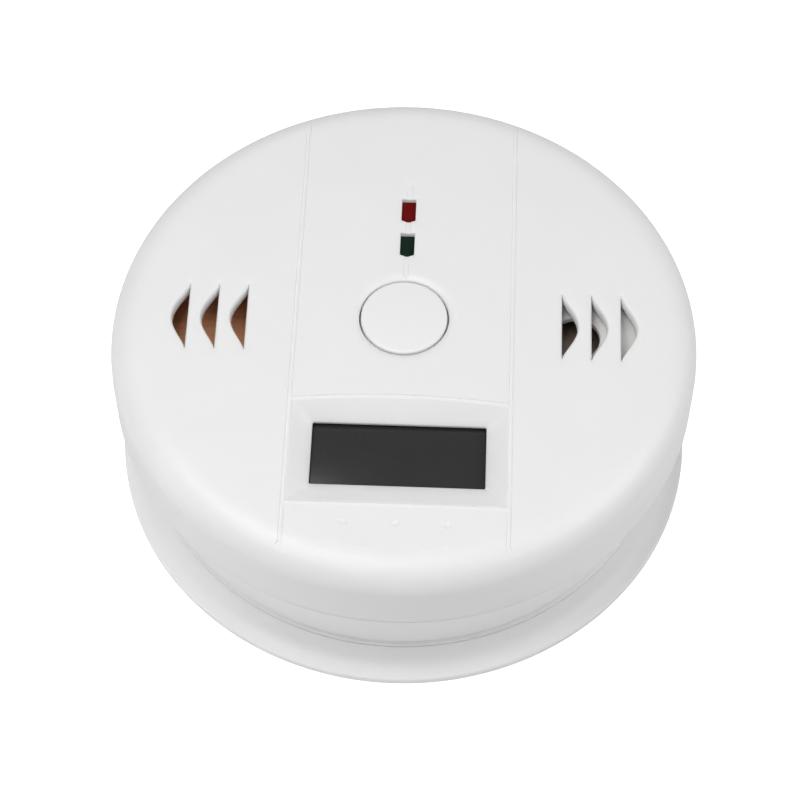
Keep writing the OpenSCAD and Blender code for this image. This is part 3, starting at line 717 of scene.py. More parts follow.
def spring_tree():
    """A conical spring along +Z with capped wire ends, one on every point of the start mesh."""
    g = start_tree("conical_spring", {
        "Turns": "NodeSocketFloat", "Wide radius": "NodeSocketFloat", "Narrow radius": "NodeSocketFloat",
        "Length": "NodeSocketFloat", "Wire radius": "NodeSocketFloat"})
    coil = g.node("GeometryNodeCurveSpiral", None, {
        "Resolution": 26, "Rotations": g.given["Turns"], "Start Radius": g.given["Wide radius"],
        "End Radius": g.given["Narrow radius"], "Height": g.given["Length"]})
    section = g.node("GeometryNodeCurvePrimitiveCircle", {"mode": "RADIUS"},
                     {"Resolution": 9, "Radius": g.given["Wire radius"]})
    swept = g.node("GeometryNodeCurveToMesh", None,
                   {"Curve": coil, "Profile Curve": section, "Fill Caps": True})
    spots = g.node("GeometryNodeInputNamedAttribute", {"data_type": "FLOAT_VECTOR"}, {"Name": "facing"})
    placed = g.node("GeometryNodeInstanceOnPoints", None,
                    {"Points": g.given["Geometry"], "Instance": swept, "Rotation": spots})
    return close_tree(g, placed)


def repeated_tree():
    """Puts the pattern on every point, turned as the point's facing says, and by a seeded random turn."""
    g = start_tree("repeated_piece", {"Pattern": "NodeSocketObject", "Random turn": "NodeSocketFloat",
                                      "Seed": "NodeSocketInt"})
    pattern = g.node("GeometryNodeObjectInfo", {"transform_space": "ORIGINAL"},
                     {"Object": g.given["Pattern"]}, out="Geometry")
    facing = g.node("GeometryNodeInputNamedAttribute", {"data_type": "FLOAT_VECTOR"}, {"Name": "facing"})
    chance = g.node("FunctionNodeRandomValue", {"data_type": "FLOAT"},
                    {2: 0.0, 3: g.given["Random turn"], "Seed": g.given["Seed"]}, out=1)
    turn = g.node("ShaderNodeCombineXYZ", None, {"Z": chance})
    placed = g.node("GeometryNodeInstanceOnPoints", None,
                    {"Points": g.given["Geometry"], "Instance": pattern, "Rotation": facing})
    spun = g.node("GeometryNodeRotateInstances", None, {"Instances": placed, "Rotation": turn})
    return close_tree(g, spun)


TURNED = turned_tree()
STRANDS = strand_tree()
SPRING = spring_tree()
REPEATED = repeated_tree()


def turned(name, outline, slot_name, centre=(0, 0, 0), steps=96, closed=False):
    """A lathe-turned piece from (radius, height) pairs. An open outline starts and ends on the axis."""
    path_r = 10.0
    count = len(outline)
    mesh = bpy.data.meshes.new(name + "_outline")
    edges = [(i, i + 1) for i in range(count - 1)] + ([(count - 1, 0)] if closed else [])
    mesh.from_pydata([((r - path_r) * MM, h * MM, 0) for r, h in outline], edges, [])
    made = run_tree(TURNED, name, mesh, {"Steps": steps, "Path radius": path_r * MM}, FINISHES[slot_name])
    highest = max(h for _, h in outline) * MM
    if abs(max(v.co.z for v in made.data.vertices) - highest) > 1e-6:
        made.data.transform(Matrix.Diagonal((1, 1, -1, 1)))
    made.data.transform(Matrix.Translation(Vector(centre) * MM))
    tidy_normals(made.data)
    return made


def points_mesh(name, places, facings=None):
    """A mesh of loose points, each with the way it faces as three angles in degrees."""
    mesh = bpy.data.meshes.new(name)
    mesh.from_pydata([Vector(p) * MM for p in places], [], [])
    facing = mesh.attributes.new("facing", "FLOAT_VECTOR", "POINT")
    turns = facings or [(0, 0, 0)] * len(places)
    facing.data.foreach_set("vector", np.radians(np.array(turns, float)).ravel())
    return mesh


def repeated(name, pattern, places, slot_name, facings=None, random_turn=0.0, seed=3):
    """The pattern on every place, as one plain piece. The pattern is removed."""
    made = run_tree(REPEATED, name, points_mesh(name + "_places", places, facings),
                    {"Pattern": pattern, "Random turn": random_turn, "Seed": seed}, FINISHES[slot_name])
    discard(pattern)
    return made


def strands(name, lines, radius, slot_name, sides=10):
    """Round strands along lines of points."""
    verts, edges = [], []
    for line in lines:
        edges += [(len(verts) + k, len(verts) + k + 1) for k in range(len(line) - 1)]
        verts += [Vector(p) * MM for p in line]
    mesh = bpy.data.meshes.new(name + "_line")
    mesh.from_pydata(verts, edges, [])
    made = run_tree(STRANDS, name, mesh, {"Strand radius": radius * MM, "Sides": sides}, FINISHES[slot_name])
    tidy_normals(made.data, 0)
    return made


def carved(name, base, joined=(), cut=()):
    """The base with pieces joined on and then cut away. All the starting pieces are removed."""
    for number, (pieces, operation) in enumerate([(joined, "UNION"), (cut, "DIFFERENCE")]):
        for piece in pieces:
            step = base.modifiers.new(f"step_{number}", "BOOLEAN")
            step.object = piece
            step.operation = operation
            step.solver = "EXACT"
    made = evaluated_copy(base, name)
    discard(base, *joined, *cut)
    made.data.materials.clear()
    return made


def prism(name, loop, low, high, bevel=0.0):
    """An upright solid on a closed loop, with its top and bottom edges eased."""
    bm = bmesh.new()
    base = [bm.verts.new(Vector((x, y, low)) * MM) for x, y in loop]
    face = bm.faces.new(base)
    top = bmesh.ops.extrude_face_region(bm, geom=[face])
    bmesh.ops.translate(bm, vec=(0, 0, (high - low) * MM),
                        verts=[v for v in top["geom"] if isinstance(v, bmesh.types.BMVert)])
    bmesh.ops.recalc_face_normals(bm, faces=bm.faces)
    if bevel:
        rims = [e for e in bm.edges if len(e.link_faces) == 2 and e.calc_face_angle(0) > 0.6]
        bmesh.ops.bevel(bm, geom=rims, offset=bevel * MM, segments=3, profile=0.5, affect="EDGES")
    mesh = bpy.data.meshes.new(name)
    bm.to_mesh(mesh)
    bm.free()
    return as_object(name, mesh)


def box_loop(centre, size, r=0.0):
    """A rectangle's outline, with round corners if r is given."""
    x, y = size[0] / 2, size[1] / 2
    square = [(centre[0] + sx * x, centre[1] + sy * y) for sx, sy in ((-1, -1), (1, -1), (1, 1), (-1, 1))]
    return rounded(square, r) if r else square


def sector_loop(r_in, r_out, start, width):
    """Outline of a piece of a ring, angles in degrees."""
    return arc((0, 0), r_out, start, start + width, 10) + arc((0, 0), r_in, start + width, start, 10)


# ---------- front cover ----------

DOME_LEAN = math.atan(2 * DOME / FACE_R)
ARC_MID_R = FACE_R - SHOULDER_R * math.sin(DOME_LEAN)
ARC_MID_Z = FACE_Z - SHOULDER_R * math.cos(DOME_LEAN)


def side_lean():
    """Lean of the cover's side, from a smooth start at the shoulder to the case radius at the seam."""
    low, high = 0.0, 0.3
    for _ in range(40):
        lean = (low + high) / 2
        foot_z = ARC_MID_Z + SHOULDER_R * math.sin(lean)
        reach = ARC_MID_R + SHOULDER_R * math.cos(lean) + math.tan(lean) * (foot_z - SEAM_Z)
        low, high = (lean, high) if reach < CASE_R else (low, lean)
    return lean


SIDE_LEAN = side_lean()
ARC_SPAN = math.pi / 2 - DOME_LEAN - SIDE_LEAN
ARC_END_S = FACE_R + SHOULDER_R * ARC_SPAN
SEAM_S = ARC_END_S + (ARC_MID_Z + SHOULDER_R * math.sin(SIDE_LEAN) - SEAM_Z) / math.cos(SIDE_LEAN)
SKIN_END_S = 48.0
INNER_END_S = 45.0


def cover_line(s):
    """Radius, height and outward normal at distance s along the cover's outer line from its centre."""
    s = np.asarray(s, float)
    on_face = s <= FACE_R
    tilt = math.pi / 2 - DOME_LEAN - np.clip((s - FACE_R) / SHOULDER_R, 0, ARC_SPAN)
    past = np.maximum(s - ARC_END_S, 0)
    slope = np.arctan(2 * DOME * s / FACE_R ** 2)
    tilt = np.where(on_face, math.pi / 2 - slope, tilt)
    r = np.where(on_face, s, ARC_MID_R + SHOULDER_R * np.cos(tilt) + past * math.sin(SIDE_LEAN))
    z = np.where(on_face, FACE_Z + DOME * (1 - (s / FACE_R) ** 2),
                 ARC_MID_Z + SHOULDER_R * np.sin(tilt) - past * math.cos(SIDE_LEAN))
    return r, z, np.cos(tilt), np.sin(tilt)


def on_cover(flat, rise):
    """Flat places on the unrolled cover, raised along its normal, as points of the cover."""
    s = np.maximum(np.hypot(flat[:, 0], flat[:, 1]), 1e-9)
    r, z, nr, nz = cover_line(s)
    reach = (r + rise * nr) / s
    return np.column_stack([flat[:, 0] * reach, flat[:, 1] * reach, z + rise * nz])


def bezel_top(x):
    """The bezel's upper edge, which bows towards the button."""
    return BEZEL_TOP_Y + BEZEL_BOW * (1 - (x / STRIP_HALF_W) ** 2)


BEZEL_DROP = FACE_Z + DOME / 2 - WINDOW_Z
WINDOW_LOOP = trail(rounded([(-WINDOW_HALF_W, WINDOW_LOW_Y), (WINDOW_HALF_W, WINDOW_LOW_Y),
                             (WINDOW_HALF_W, WINDOW_TOP_Y), (-WINDOW_HALF_W, WINDOW_TOP_Y)], 0.35), 0.8, True)
TOP_EDGE = [(x, bezel_top(x)) for x in np.linspace(BEZEL_HALF_W, -BEZEL_HALF_W, 37)]
BEZEL_LOOP = trail([(-BEZEL_HALF_W, BEZEL_LOW_Y), (BEZEL_HALF_W, BEZEL_LOW_Y)] + TOP_EDGE, 0.9, True)
VENTS = [vent_loop(side, number) for side in (-1, 1) for number in range(3)]
LAMPS = [lamp_loop(y) for y in (RED_Y, GREEN_Y)]
BUTTON_MID = (0.0, BUTTON_Y)
BUTTON_HOLE = arc(BUTTON_MID, BUTTON_R + BUTTON_GAP, 0, 360, 96)[:-1]
HOLES = VENTS + LAMPS + [BUTTON_HOLE, WINDOW_LOOP]
FILLETS = ((VENTS, VENT_FILLET), (LAMPS, LAMP_FILLET), ([BUTTON_HOLE], BUTTON_FILLET),
           ([WINDOW_LOOP], WINDOW_FILLET))
STRIP_END_Y = math.sqrt(STRIP_END_R ** 2 - STRIP_HALF_W ** 2)
LOW_LINE_Y = BEZEL_LOW_Y - LINE_HALF_W
FACE_LINES = [
    [(-STRIP_HALF_W, -STRIP_END_Y), (-STRIP_HALF_W, STRIP_END_Y)],
    [(STRIP_HALF_W, -STRIP_END_Y), (STRIP_HALF_W, STRIP_END_Y)],
    [(-STRIP_HALF_W, LOW_LINE_Y), (STRIP_HALF_W, LOW_LINE_Y)],
    [(x, bezel_top(x) + LINE_HALF_W) for x in np.linspace(-STRIP_HALF_W, STRIP_HALF_W, 41)],
]
LAMP_LINE_GAP = 0.25
LAMP_LINE_STOPS = [BUTTON_Y + DISH_R - 0.4]
for lamp_y in (GREEN_Y, RED_Y):
    LAMP_LINE_STOPS += [lamp_y - LAMP_L / 2 - LAMP_BOW - LAMP_LINE_GAP, lamp_y + LAMP_L / 2 + LAMP_LINE_GAP]
LAMP_LINE_STOPS += [LAMP_LINE_END]
LAMP_LINES = [[(0.0, start), (0.0, end)] for start, end in zip(LAMP_LINE_STOPS[::2], LAMP_LINE_STOPS[1::2])]
LAMP_LINE_HALF_W = 0.45
LAMP_LINE_DEPTH = 0.16
EDGE_EASE = 0.16


def arrow_loop(start, end):
    """A plain flat arrow that follows the rim of the face; start and end are distances along it."""
    half, head_half, head = 0.4, 0.95, 1.6
    way = 1 if end > start else -1
    neck = end - way * head
    ups = [(x, -half) for x in np.linspace(start, neck, 8)]
    ups += [(neck, -head_half), (end, 0), (neck, head_half)]
    ups += [(x, half) for x in np.linspace(neck, start, 8)]
    loop = []
    for along, out in ups:
        angle = math.radians(-90) + along / ARROW_R
        loop.append(((ARROW_R + out) * math.cos(angle), (ARROW_R + out) * math.sin(angle)))
    return loop if way > 0 else loop[::-1]


ARROWS = [trail(arrow_loop(-4.6, -10.4), 0.5, True), trail(arrow_loop(4.6, 10.4), 0.5, True)]
ARROW_RISE = 0.12


def ease(gap, width, depth):
    """Groove depth across its width: a flat bottom and sides with soft edges."""
    t = np.clip((width + EDGE_EASE / 2 - gap) / EDGE_EASE, 0, 1)
    return depth * t * t * (3 - 2 * t)


def bezel_rise(flat):
    """Height of the four slopes round the display, against the face."""
    x, y = np.abs(flat[:, 0]), flat[:, 1]
    width = BEZEL_HALF_W - WINDOW_HALF_W
    from_side = (x - WINDOW_HALF_W) / width
    top_width = bezel_top(flat[:, 0]) - WINDOW_TOP_Y
    from_top = (y - WINDOW_TOP_Y) / top_width
    from_low = (WINDOW_LOW_Y - y) / (WINDOW_LOW_Y - BEZEL_LOW_Y)
    share = np.maximum(np.maximum(from_side, from_top), from_low)
    return BEZEL_DROP * np.clip(share - 1, -1, 0)


def skin_rise(flat):
    """How far the cover's outer skin lies above (+) or below (-) its plain domed form."""
    rise = np.zeros(len(flat))
    for line in FACE_LINES:
        rise = np.minimum(rise, -ease(nearest(flat, line, False), LINE_HALF_W, LINE_DEPTH))
    for line in LAMP_LINES:
        rise = np.minimum(rise, -ease(nearest(flat, line, False), LAMP_LINE_HALF_W, LAMP_LINE_DEPTH))
    rise = np.minimum(rise, bezel_rise(flat))
    from_button = np.hypot(flat[:, 0], flat[:, 1] - BUTTON_Y)
    share = np.clip((DISH_R - from_button) / (DISH_R - BUTTON_R - BUTTON_GAP), 0, 1)
    rise = rise - DISH_DEPTH * share * share
    for i in (-1, 0, 1):
        gap = np.hypot(flat[:, 0] - i * DIMPLE_PITCH, flat[:, 1] - DIMPLE_Y)
        ball = DIMPLE_LIFT - np.sqrt(np.maximum(DIMPLE_BALL_R ** 2 - gap ** 2, 0))
        rise = np.minimum(rise, np.where(gap < DIMPLE_BALL_R, ball, 0))
    for loop in ARROWS:
        gap = nearest(flat, loop) * np.where(inside(flat, loop), -1, 1)
        rise = rise + ARROW_RISE * np.clip((0.06 - gap) / 0.12, 0, 1)
    for loops, fillet in FILLETS:
        for loop in loops:
            gap = np.minimum(nearest(flat, loop), fillet)
            gap = np.where(inside(flat, loop), 0, gap)
            rise = rise - (fillet - np.sqrt(fillet ** 2 - (fillet - gap) ** 2))
    return rise


def inner_drop(flat):
    """Depth of the cover's inner face under its plain domed form, more at the pad behind the display."""
    pad = (np.abs(flat[:, 0]) < PAD_HALF_W) & (flat[:, 1] > PAD_LOW_Y) & (flat[:, 1] < PAD_TOP_Y)
    _, z, _, _ = cover_line(np.hypot(flat[:, 0], flat[:, 1]))
    hollow = (nearest(flat, WINDOW_LOOP) < UNDERCUT + 0.01) | inside(flat, WINDOW_LOOP)
    return np.where(hollow, z - WINDOW_Z + EDGE_T, np.where(pad, z - LIP_Z, WALL))


def side_by_side(line, offsets, step):
    """Copies of a line beside it, as open trails."""
    out = []
    points = [Vector(p) for p in line]
    for offset in offsets:
        moved = []
        for i, p in enumerate(points):
            run = (points[min(i + 1, len(points) - 1)] - points[max(i - 1, 0)]).normalized()
            moved.append(tuple(p + Vector((-run.y, run.x)) * offset))
        out.append(trail(moved, step))
    return out


def netted(closed_lines, open_lines, end_s, spacing, clear):
    """A flat triangle net of a disc that follows every line given. Returns its points, triangles and rim."""
    rim = [(end_s * math.cos(a), end_s * math.sin(a)) for a in CASE_TURNS]
    points, edges = [], []
    for line, closed in [(l, True) for l in closed_lines + [rim]] + [(l, False) for l in open_lines]:
        first = len(points)
        points += [tuple(p) for p in line]
        edges += [(first + k, first + k + 1) for k in range(len(line) - 1)]
        if closed:
            edges.append((len(points) - 1, first))
    rows = int(end_s / (spacing * 0.866)) + 1
    fill = np.array([((i + 0.5 * (j % 2)) * spacing, j * spacing * 0.866)
                     for j in range(-rows, rows + 1) for i in range(-rows, rows + 1)])
    fill = fill[np.hypot(fill[:, 0], fill[:, 1]) < end_s - spacing * 0.7]
    known = np.array(points)
    keep = [np.min(np.hypot(known[:, 0] - x, known[:, 1] - y)) > clear for x, y in fill]
    points += [tuple(p) for p in fill[keep]]
    flat, _, faces, _, _, _ = delaunay_2d_cdt([Vector(p) for p in points], edges, [], 0, 1e-4, False)
    flat = np.array([tuple(v) for v in flat])
    mids = np.array([flat[list(f)].mean(0) for f in faces])
    open_here = np.zeros(len(mids), bool)
    for loop in HOLES:
        open_here |= inside(mids, loop)
    faces = [tuple(f) for f, gone in zip(faces, open_here) if not gone]
    return flat, faces, rim


def nearest_index(flat, loop):
    """Index of the net's point at each point of a loop."""
    return [int(np.argmin((flat[:, 0] - x) ** 2 + (flat[:, 1] - y) ** 2)) for x, y in loop]


def cover_shell():
    """The cover as one closed shell: outer skin, hole walls, inner skin and the rim at the seam."""
    rings = [WINDOW_LOOP, BUTTON_HOLE] + VENTS + LAMPS
    for loops, fillet in FILLETS:
        for loop in loops:
            rings += [grown(loop, fillet * share) for share in (0.12, 0.4, 1.0)]
    rings += [arc(BUTTON_MID, r, 0, 360, 96)[:-1] for r in (8.1, 8.45, 8.8, DISH_R)]
    rings += [BEZEL_LOOP]
    for i in (-1, 0, 1):
        rings += [arc((i * DIMPLE_PITCH, DIMPLE_Y), r, 0, 360, 20)[:-1] for r in (0.25, 0.5, 0.7, 0.78)]
    for loop in ARROWS:
        rings += [loop, grown(loop, 0.06)]
    lines = []
    sides = (LINE_HALF_W - EDGE_EASE / 2, LINE_HALF_W, LINE_HALF_W + EDGE_EASE / 2)
    for line in FACE_LINES:
        lines += side_by_side(line, [-o for o in sides] + [0] + list(sides), 1.0)
    sides = (LAMP_LINE_HALF_W - EDGE_EASE / 2, LAMP_LINE_HALF_W + EDGE_EASE / 2)
    for line in LAMP_LINES:
        lines += side_by_side(line, [-sides[1], -sides[0], sides[0], sides[1]], 0.9)
    for sx in (-1, 1):
        for y, edge_y in ((WINDOW_LOW_Y, BEZEL_LOW_Y), (WINDOW_TOP_Y, bezel_top(BEZEL_HALF_W))):
            lines.append(trail([(sx * WINDOW_HALF_W, y), (sx * BEZEL_HALF_W, edge_y)], 0.6))
    flat, faces, rim = netted(rings, lines, SKIN_END_S, 1.5, 0.45)
    verts = list(map(tuple, on_cover(flat, skin_rise(flat))))
    rim_at = nearest_index(flat, rim)

    pad = trail([(-PAD_HALF_W, PAD_LOW_Y), (PAD_HALF_W, PAD_LOW_Y), (PAD_HALF_W, PAD_TOP_Y),
                 (-PAD_HALF_W, PAD_TOP_Y)], 1.5, True)
    hollow = [grown(WINDOW_LOOP, UNDERCUT - 0.05), grown(WINDOW_LOOP, UNDERCUT + 0.05)]
    in_flat, in_faces, in_rim = netted(HOLES + [pad, grown(pad, 0.08)] + hollow, [], INNER_END_S, 2.6, 0.9)
    base = len(verts)
    verts += list(map(tuple, on_cover(in_flat, -inner_drop(in_flat))))
    faces += [tuple(base + i for i in reversed(f)) for f in in_faces]
    for loop in HOLES:
        outer_at = nearest_index(flat, loop)
        inner_at = nearest_index(in_flat, loop)
        for k in range(len(loop)):
            n = (k + 1) % len(loop)
            faces.append((outer_at[k], outer_at[n], base + inner_at[n], base + inner_at[k]))

    turns = [(math.cos(a), math.sin(a)) for a in CASE_TURNS]
    ease_r = 0.22
    outer_s = list(np.linspace(SKIN_END_S, ARC_END_S, 9)[1:])
    outer_s += list(np.linspace(ARC_END_S, SEAM_S - ease_r, 5)[1:])
    section = [(float(r), float(z)) for r, z, _, _ in (cover_line(s) for s in outer_s)]
    section += [(CASE_R - 0.09, SEAM_Z + 0.06), (CASE_R - ease_r, SEAM_Z), (CASE_R - WALL, SEAM_Z)]
    for s in list(np.linspace(ARC_END_S, INNER_END_S, 7)[:-1]):
        r, z, nr, nz = cover_line(s)
        section.append((float(r - WALL * nr), float(z - WALL * nz)))
    previous = rim_at
    for r, z in section:
        first = len(verts)
        verts += [(r * x, r * y, z) for x, y in turns]
        ring = [first + k for k in range(CASE_STEPS)]
        faces += [(previous[k], ring[k], ring[(k + 1) % CASE_STEPS], previous[(k + 1) % CASE_STEPS])
                  for k in range(CASE_STEPS)]
        previous = ring
    in_rim_at = [base + i for i in nearest_index(in_flat, in_rim)]
    faces += [(previous[k], in_rim_at[k], in_rim_at[(k + 1) % CASE_STEPS], previous[(k + 1) % CASE_STEPS])
              for k in range(CASE_STEPS)]
    return verts, faces


def hollow_post(x, y, r_out, r_in, low, high):
    """A screw post: a closed tube on the piece's underside."""
    steps = 24
    section = [(r_out, low), (r_out, high), (r_in, high), (r_in, low)]
    turns = [(math.cos(a), math.sin(a)) for a in 2 * math.pi * np.arange(steps) / steps]
    verts = [(x + r * c, y + r * s, z) for r, z in section for c, s in turns]
    faces = []
    for j in range(4):
        a, b = j * steps, (j + 1) % 4 * steps
        faces += [(a + k, a + (k + 1) % steps, b + (k + 1) % steps, b + k) for k in range(steps)]
    return verts, faces


def stacked(rings):
    """A closed solid through rings of equally many points."""
    n = len(rings[0])
    verts = [p for ring in rings for p in ring]
    faces = [tuple(range(n)), tuple(range(len(verts) - n, len(verts)))]
    for j in range(len(rings) - 1):
        at, up = j * n, (j + 1) * n
        faces += [(at + k, at + (k + 1) % n, up + (k + 1) % n, up + k) for k in range(n)]
    return verts, faces


def joined_verts(parts):
    verts, faces = [], []
    for more_verts, more_faces in parts:
        first = len(verts)
        verts += more_verts
        faces += [tuple(first + i for i in f) for f in more_faces]
    return verts, faces


board_low, board_high = corners("circuit_board")
posts = [hollow_post(x, y, 2.8, 1.05, board_high.z, FACE_Z - 1.5) for x, y in BOARD_SCREWS]
posts += [hollow_post(x, y, 3.0, 1.3, SEAM_Z + 0.1, FACE_Z - 3.2) for x, y in SCREW_RING]
verts, faces = joined_verts([cover_shell()] + posts)
cover = as_object("front_cover_shell", plain_mesh("front_cover_shell", verts, faces))
tidy_normals(cover.data, 0.001)
fit_out(cover, "case", "cover_plastic", ["front_cover"], angle=28)

# ---------- back housing ----------


def housing_outline():
    """From the axis out along the foot, up the leaning side to the seam, over the lip and back inside."""
    side_low = (FOOT_R - 0.55, HOUSING_Z + 0.78)
    lip_r = CASE_R - WALL - 0.2
    inner_low = FOOT_R - 0.55 - WALL
    inner_at = lambda z: inner_low + (CASE_R - WALL - inner_low) * (z - FLOOR_TOP) / (SEAM_Z - FLOOR_TOP)
    foot = rounded([(FOOT_R, HOUSING_Z, 0.18), (FOOT_R, HOUSING_Z + 0.62, 0.2), (*side_low, 0.3),
                    (CASE_R, SEAM_Z, 0.3), (lip_r, SEAM_Z, 0.1), (lip_r, SEAM_Z + 1, 0.2),
                    (lip_r - 1.1, SEAM_Z + 1, 0.2), (lip_r - 1.1, SEAM_Z - 2, 0.1),
                    (inner_at(SEAM_Z - 2), SEAM_Z - 2, 0.1), (inner_low, FLOOR_TOP, 0.4),
                    (0, FLOOR_TOP, 0), (0, HOUSING_Z, 0)], 0.2, 4)
    while foot[0][0] != 0:
        foot = foot[1:] + foot[:1]
    return foot[1:] + foot[:1]


def round_loop(centre, r, steps=32):
    return arc(centre, r, 0, 360, steps)[:-1]


def housing_piece():
    bay = (28.5, 23.5)
    bay_wall = 1.4
    roof, top = 20.0, HOUSING_Z + 15.8
    post_r, well_r, bore_r = 3.0, 2.4, 1.4
    slot_r, slide_r, mouth_r = 37.7, 39.8, 41.8
    below, above = HOUSING_Z - 1, FLOOR_TOP + 1
    base = turned("housing_base", housing_outline(), "housing_plastic", steps=CASE_STEPS)
    joined = [prism("bay", box_loop((0, 0), [2 * (s + bay_wall) for s in bay], 1.2), HOUSING_Z, top, 0.2)]
    joined += [prism(f"post_{i}", round_loop(p, post_r), HOUSING_Z, SEAM_Z) for i, p in enumerate(SCREW_RING)]
    cut = [prism("bay_hollow", box_loop((0, 0), [2 * s for s in bay], 0.8), below, roof)]
    cut += [prism(f"well_{i}", round_loop(p, well_r), below, HOUSING_Z + 6) for i, p in enumerate(SCREW_RING)]
    cut += [prism(f"bore_{i}", round_loop(p, bore_r), HOUSING_Z, SEAM_Z + 1)
            for i, p in enumerate(SCREW_RING)]
    for i, angle in enumerate((0, 90, 180, 270)):
        for label, out_r, width in (("slide", slide_r, 27.2), ("mouth", mouth_r, 9.2)):
            cut.append(prism(f"{label}_{i}", sector_loop(slot_r, out_r, angle - 22.6, width), below, above))
    for side in (-1, 1):
        tab = box_loop((side * 27.9, side * CELL_PITCH), (1.2, 5))
        cut.append(prism(f"tab_{side}", tab, roof - 1, roof + 3))
    return carved("back_housing_shell", base, joined, cut)


housing = housing_piece()
fit_out(housing, "case", "housing_plastic", ["back_housing"], angle=30)
for i, y in enumerate((-CELL_PITCH / 2, CELL_PITCH / 2)):
    rib = prism(f"cell_rib_{i + 1}", box_loop((0, y), (45, 0.5), 0.2), 12.7, 20.0)
    fit_out(rib, "case", "housing_plastic")

# ---------- wall plate ----------


def plate_outline():
    lip = 1.5
    cove_foot = RIM_R - 0.7
    cove = [(FOOT_R + (cove_foot - FOOT_R) * (1 - math.cos(a)), PLATE_H - (PLATE_H - lip) * math.sin(a))
            for a in np.radians(np.linspace(88, 2, 22))]
    rim = [(RIM_R - 0.35, 0.0), (RIM_R - 0.1, 0.1), (RIM_R, 0.35)]
    rim += arc((RIM_R - 0.35, lip - 0.35), 0.35, 0, 90, 6)
    inner = rounded([(RIM_R, 2.0, 0), (FOOT_R - 0.05, PLATE_H, 0.12), (FOOT_R - 1.5, PLATE_H, 0.25),
                     (FOOT_R - 1.9, PLATE_FLOOR, 0.4), (0, PLATE_FLOOR, 0)], 0.2, 4)[1:]
    return [(0, 0)] + rim + cove + inner


def plate_piece():
    run = 10.5 - 4.5
    tongue_low = FLOOR_TOP + 0.3
    tongue_high = tongue_low + 1.3
    base = turned("plate_base", plate_outline(), "plate_plastic", steps=CASE_STEPS)
    joined = []
    for i, angle in enumerate((0, 90, 180, 270)):
        joined.append(prism(f"hook_{i}", sector_loop(38, 39.5, angle - 4, 8), PLATE_FLOOR - 0.5, tongue_high))
        joined.append(prism(f"tongue_{i}", sector_loop(38, 41.5, angle - 4, 8), tongue_low, tongue_high))
    for r_out, r_in in ((21, 19.8), (36.6, 35.6)):
        ring = [(r_in, PLATE_FLOOR - 0.3), (r_out, PLATE_FLOOR - 0.3), (r_out, PLATE_FLOOR + 0.8),
                (r_in, PLATE_FLOOR + 0.8)]
        joined.append(turned(f"rib_{r_out:.0f}", rounded(ring, 0.2), "plate_plastic", steps=128, closed=True))
    cut = []
    for side in (-1, 1):
        mid = side * 30.0
        slot_loop = arc((mid + run / 2, 0), 2.25, -90, 90, 14) + arc((mid - run / 2, 0), 2.25, 90, 270, 14)
        cut.append(prism(f"slot_{side}", slot_loop, -1, PLATE_FLOOR + 1))
    return carved("wall_plate_shell", base, joined, cut)


plate = plate_piece()
fit_out(plate, "wall_plate", "plate_plastic", ["mounting_plate"], angle=30)

# ---------- test button and lamps ----------

button_low, button_high = corners("test_button")
cap_top = button_high.z - 0.15
flange_z, flange_t, flange_r = 31.9, 1.1, BUTTON_R + 1.4
button_outline = [(0, button_low.z), (1.7, button_low.z), (1.9, button_low.z + 0.2), (1.9, flange_z - 0.3),
                  (2.2, flange_z), (flange_r - 0.15, flange_z), (flange_r, flange_z + 0.15),
                  (flange_r, flange_z + flange_t - 0.15), (flange_r - 0.15, flange_z + flange_t),
                  (BUTTON_R, flange_z + flange_t)]
button_outline += arc((BUTTON_R - 0.45, cap_top - 0.45), 0.45, 0, 84, 7)
button_bow = 0.15
button_outline += [(r, cap_top + button_bow * (1 - (r / BUTTON_R) ** 2))
                   for r in (6.4, 5.6, 4.6, 3.4, 2.0, 1.0, 0.0)]
button = turned("test_button_cap", button_outline, "button_plastic", (0, BUTTON_Y, 0), 144)
fit_out(button, "button", "button_plastic", ["test_button"], angle=32)


def lamp_piece(node, name, slot_name, y):
    """A rectangular lamp: soft-edged lens with one bowed end on a slightly wider foot."""
    low, high = corners(node)
    soft = 0.15
    steps = [(0, low.z)] + [(soft * (1 - math.cos(a)), high.z - soft + soft * math.sin(a))
                            for a in np.radians([0, 30, 60, 90])]
    lens = [[(x * (LAMP_FIT - inset), y + (v - y) * (LAMP_FIT - inset / 2), z) for x, v in lamp_loop(y)]
            for inset, z in steps]
    foot = [[(x, v, z) for x, v in box_loop((0, y), (high.x - low.x, high.y - low.y), 0.3)]
            for z in (low.z, low.z + 0.9)]
    verts, faces = joined_verts([stacked(lens), stacked(foot)])
    made = as_object(name, plain_mesh(name, verts, faces))
    tidy_normals(made.data)
    fit_out(made, "case", slot_name, [node], angle=40)


lamp_piece("red_led", "red_lamp", "red_lens", RED_Y)
lamp_piece("green_led", "green_lamp", "green_lens", GREEN_Y)

# ---------- display ----------

glass_low, glass_high = corners("lcd_glass")
glass_mid = plan_middle(glass_low, glass_high)
glass_size = (glass_high.x - glass_low.x, glass_high.y - glass_low.y)
lower_loop = box_loop(glass_mid, glass_size, 0.3)
upper_loop = box_loop(glass_mid, (glass_size[0] - 0.4, glass_size[1] - 1.6), 0.3)
film_loop = box_loop((glass_mid[0], glass_mid[1] - 0.35), (glass_size[0] - 2, 12.0), 0.2)
lower_glass = prism("display_lower_glass", lower_loop, glass_low.z, glass_low.z + 1.0, 0.06)
upper_glass = prism("display_upper_glass", upper_loop, glass_low.z + 0.98, glass_high.z - 0.18, 0.06)
film = prism("display_film", film_loop, glass_high.z - 0.2, glass_high.z, 0.03)
glass = carved("display_glass_stack", lower_glass, [upper_glass])
fit_out(glass, "case", "lcd_glass", ["lcd_glass"], angle=30)
fit_out(film, "case", "lcd_glass", angle=30)

# ---------- sounder ----------

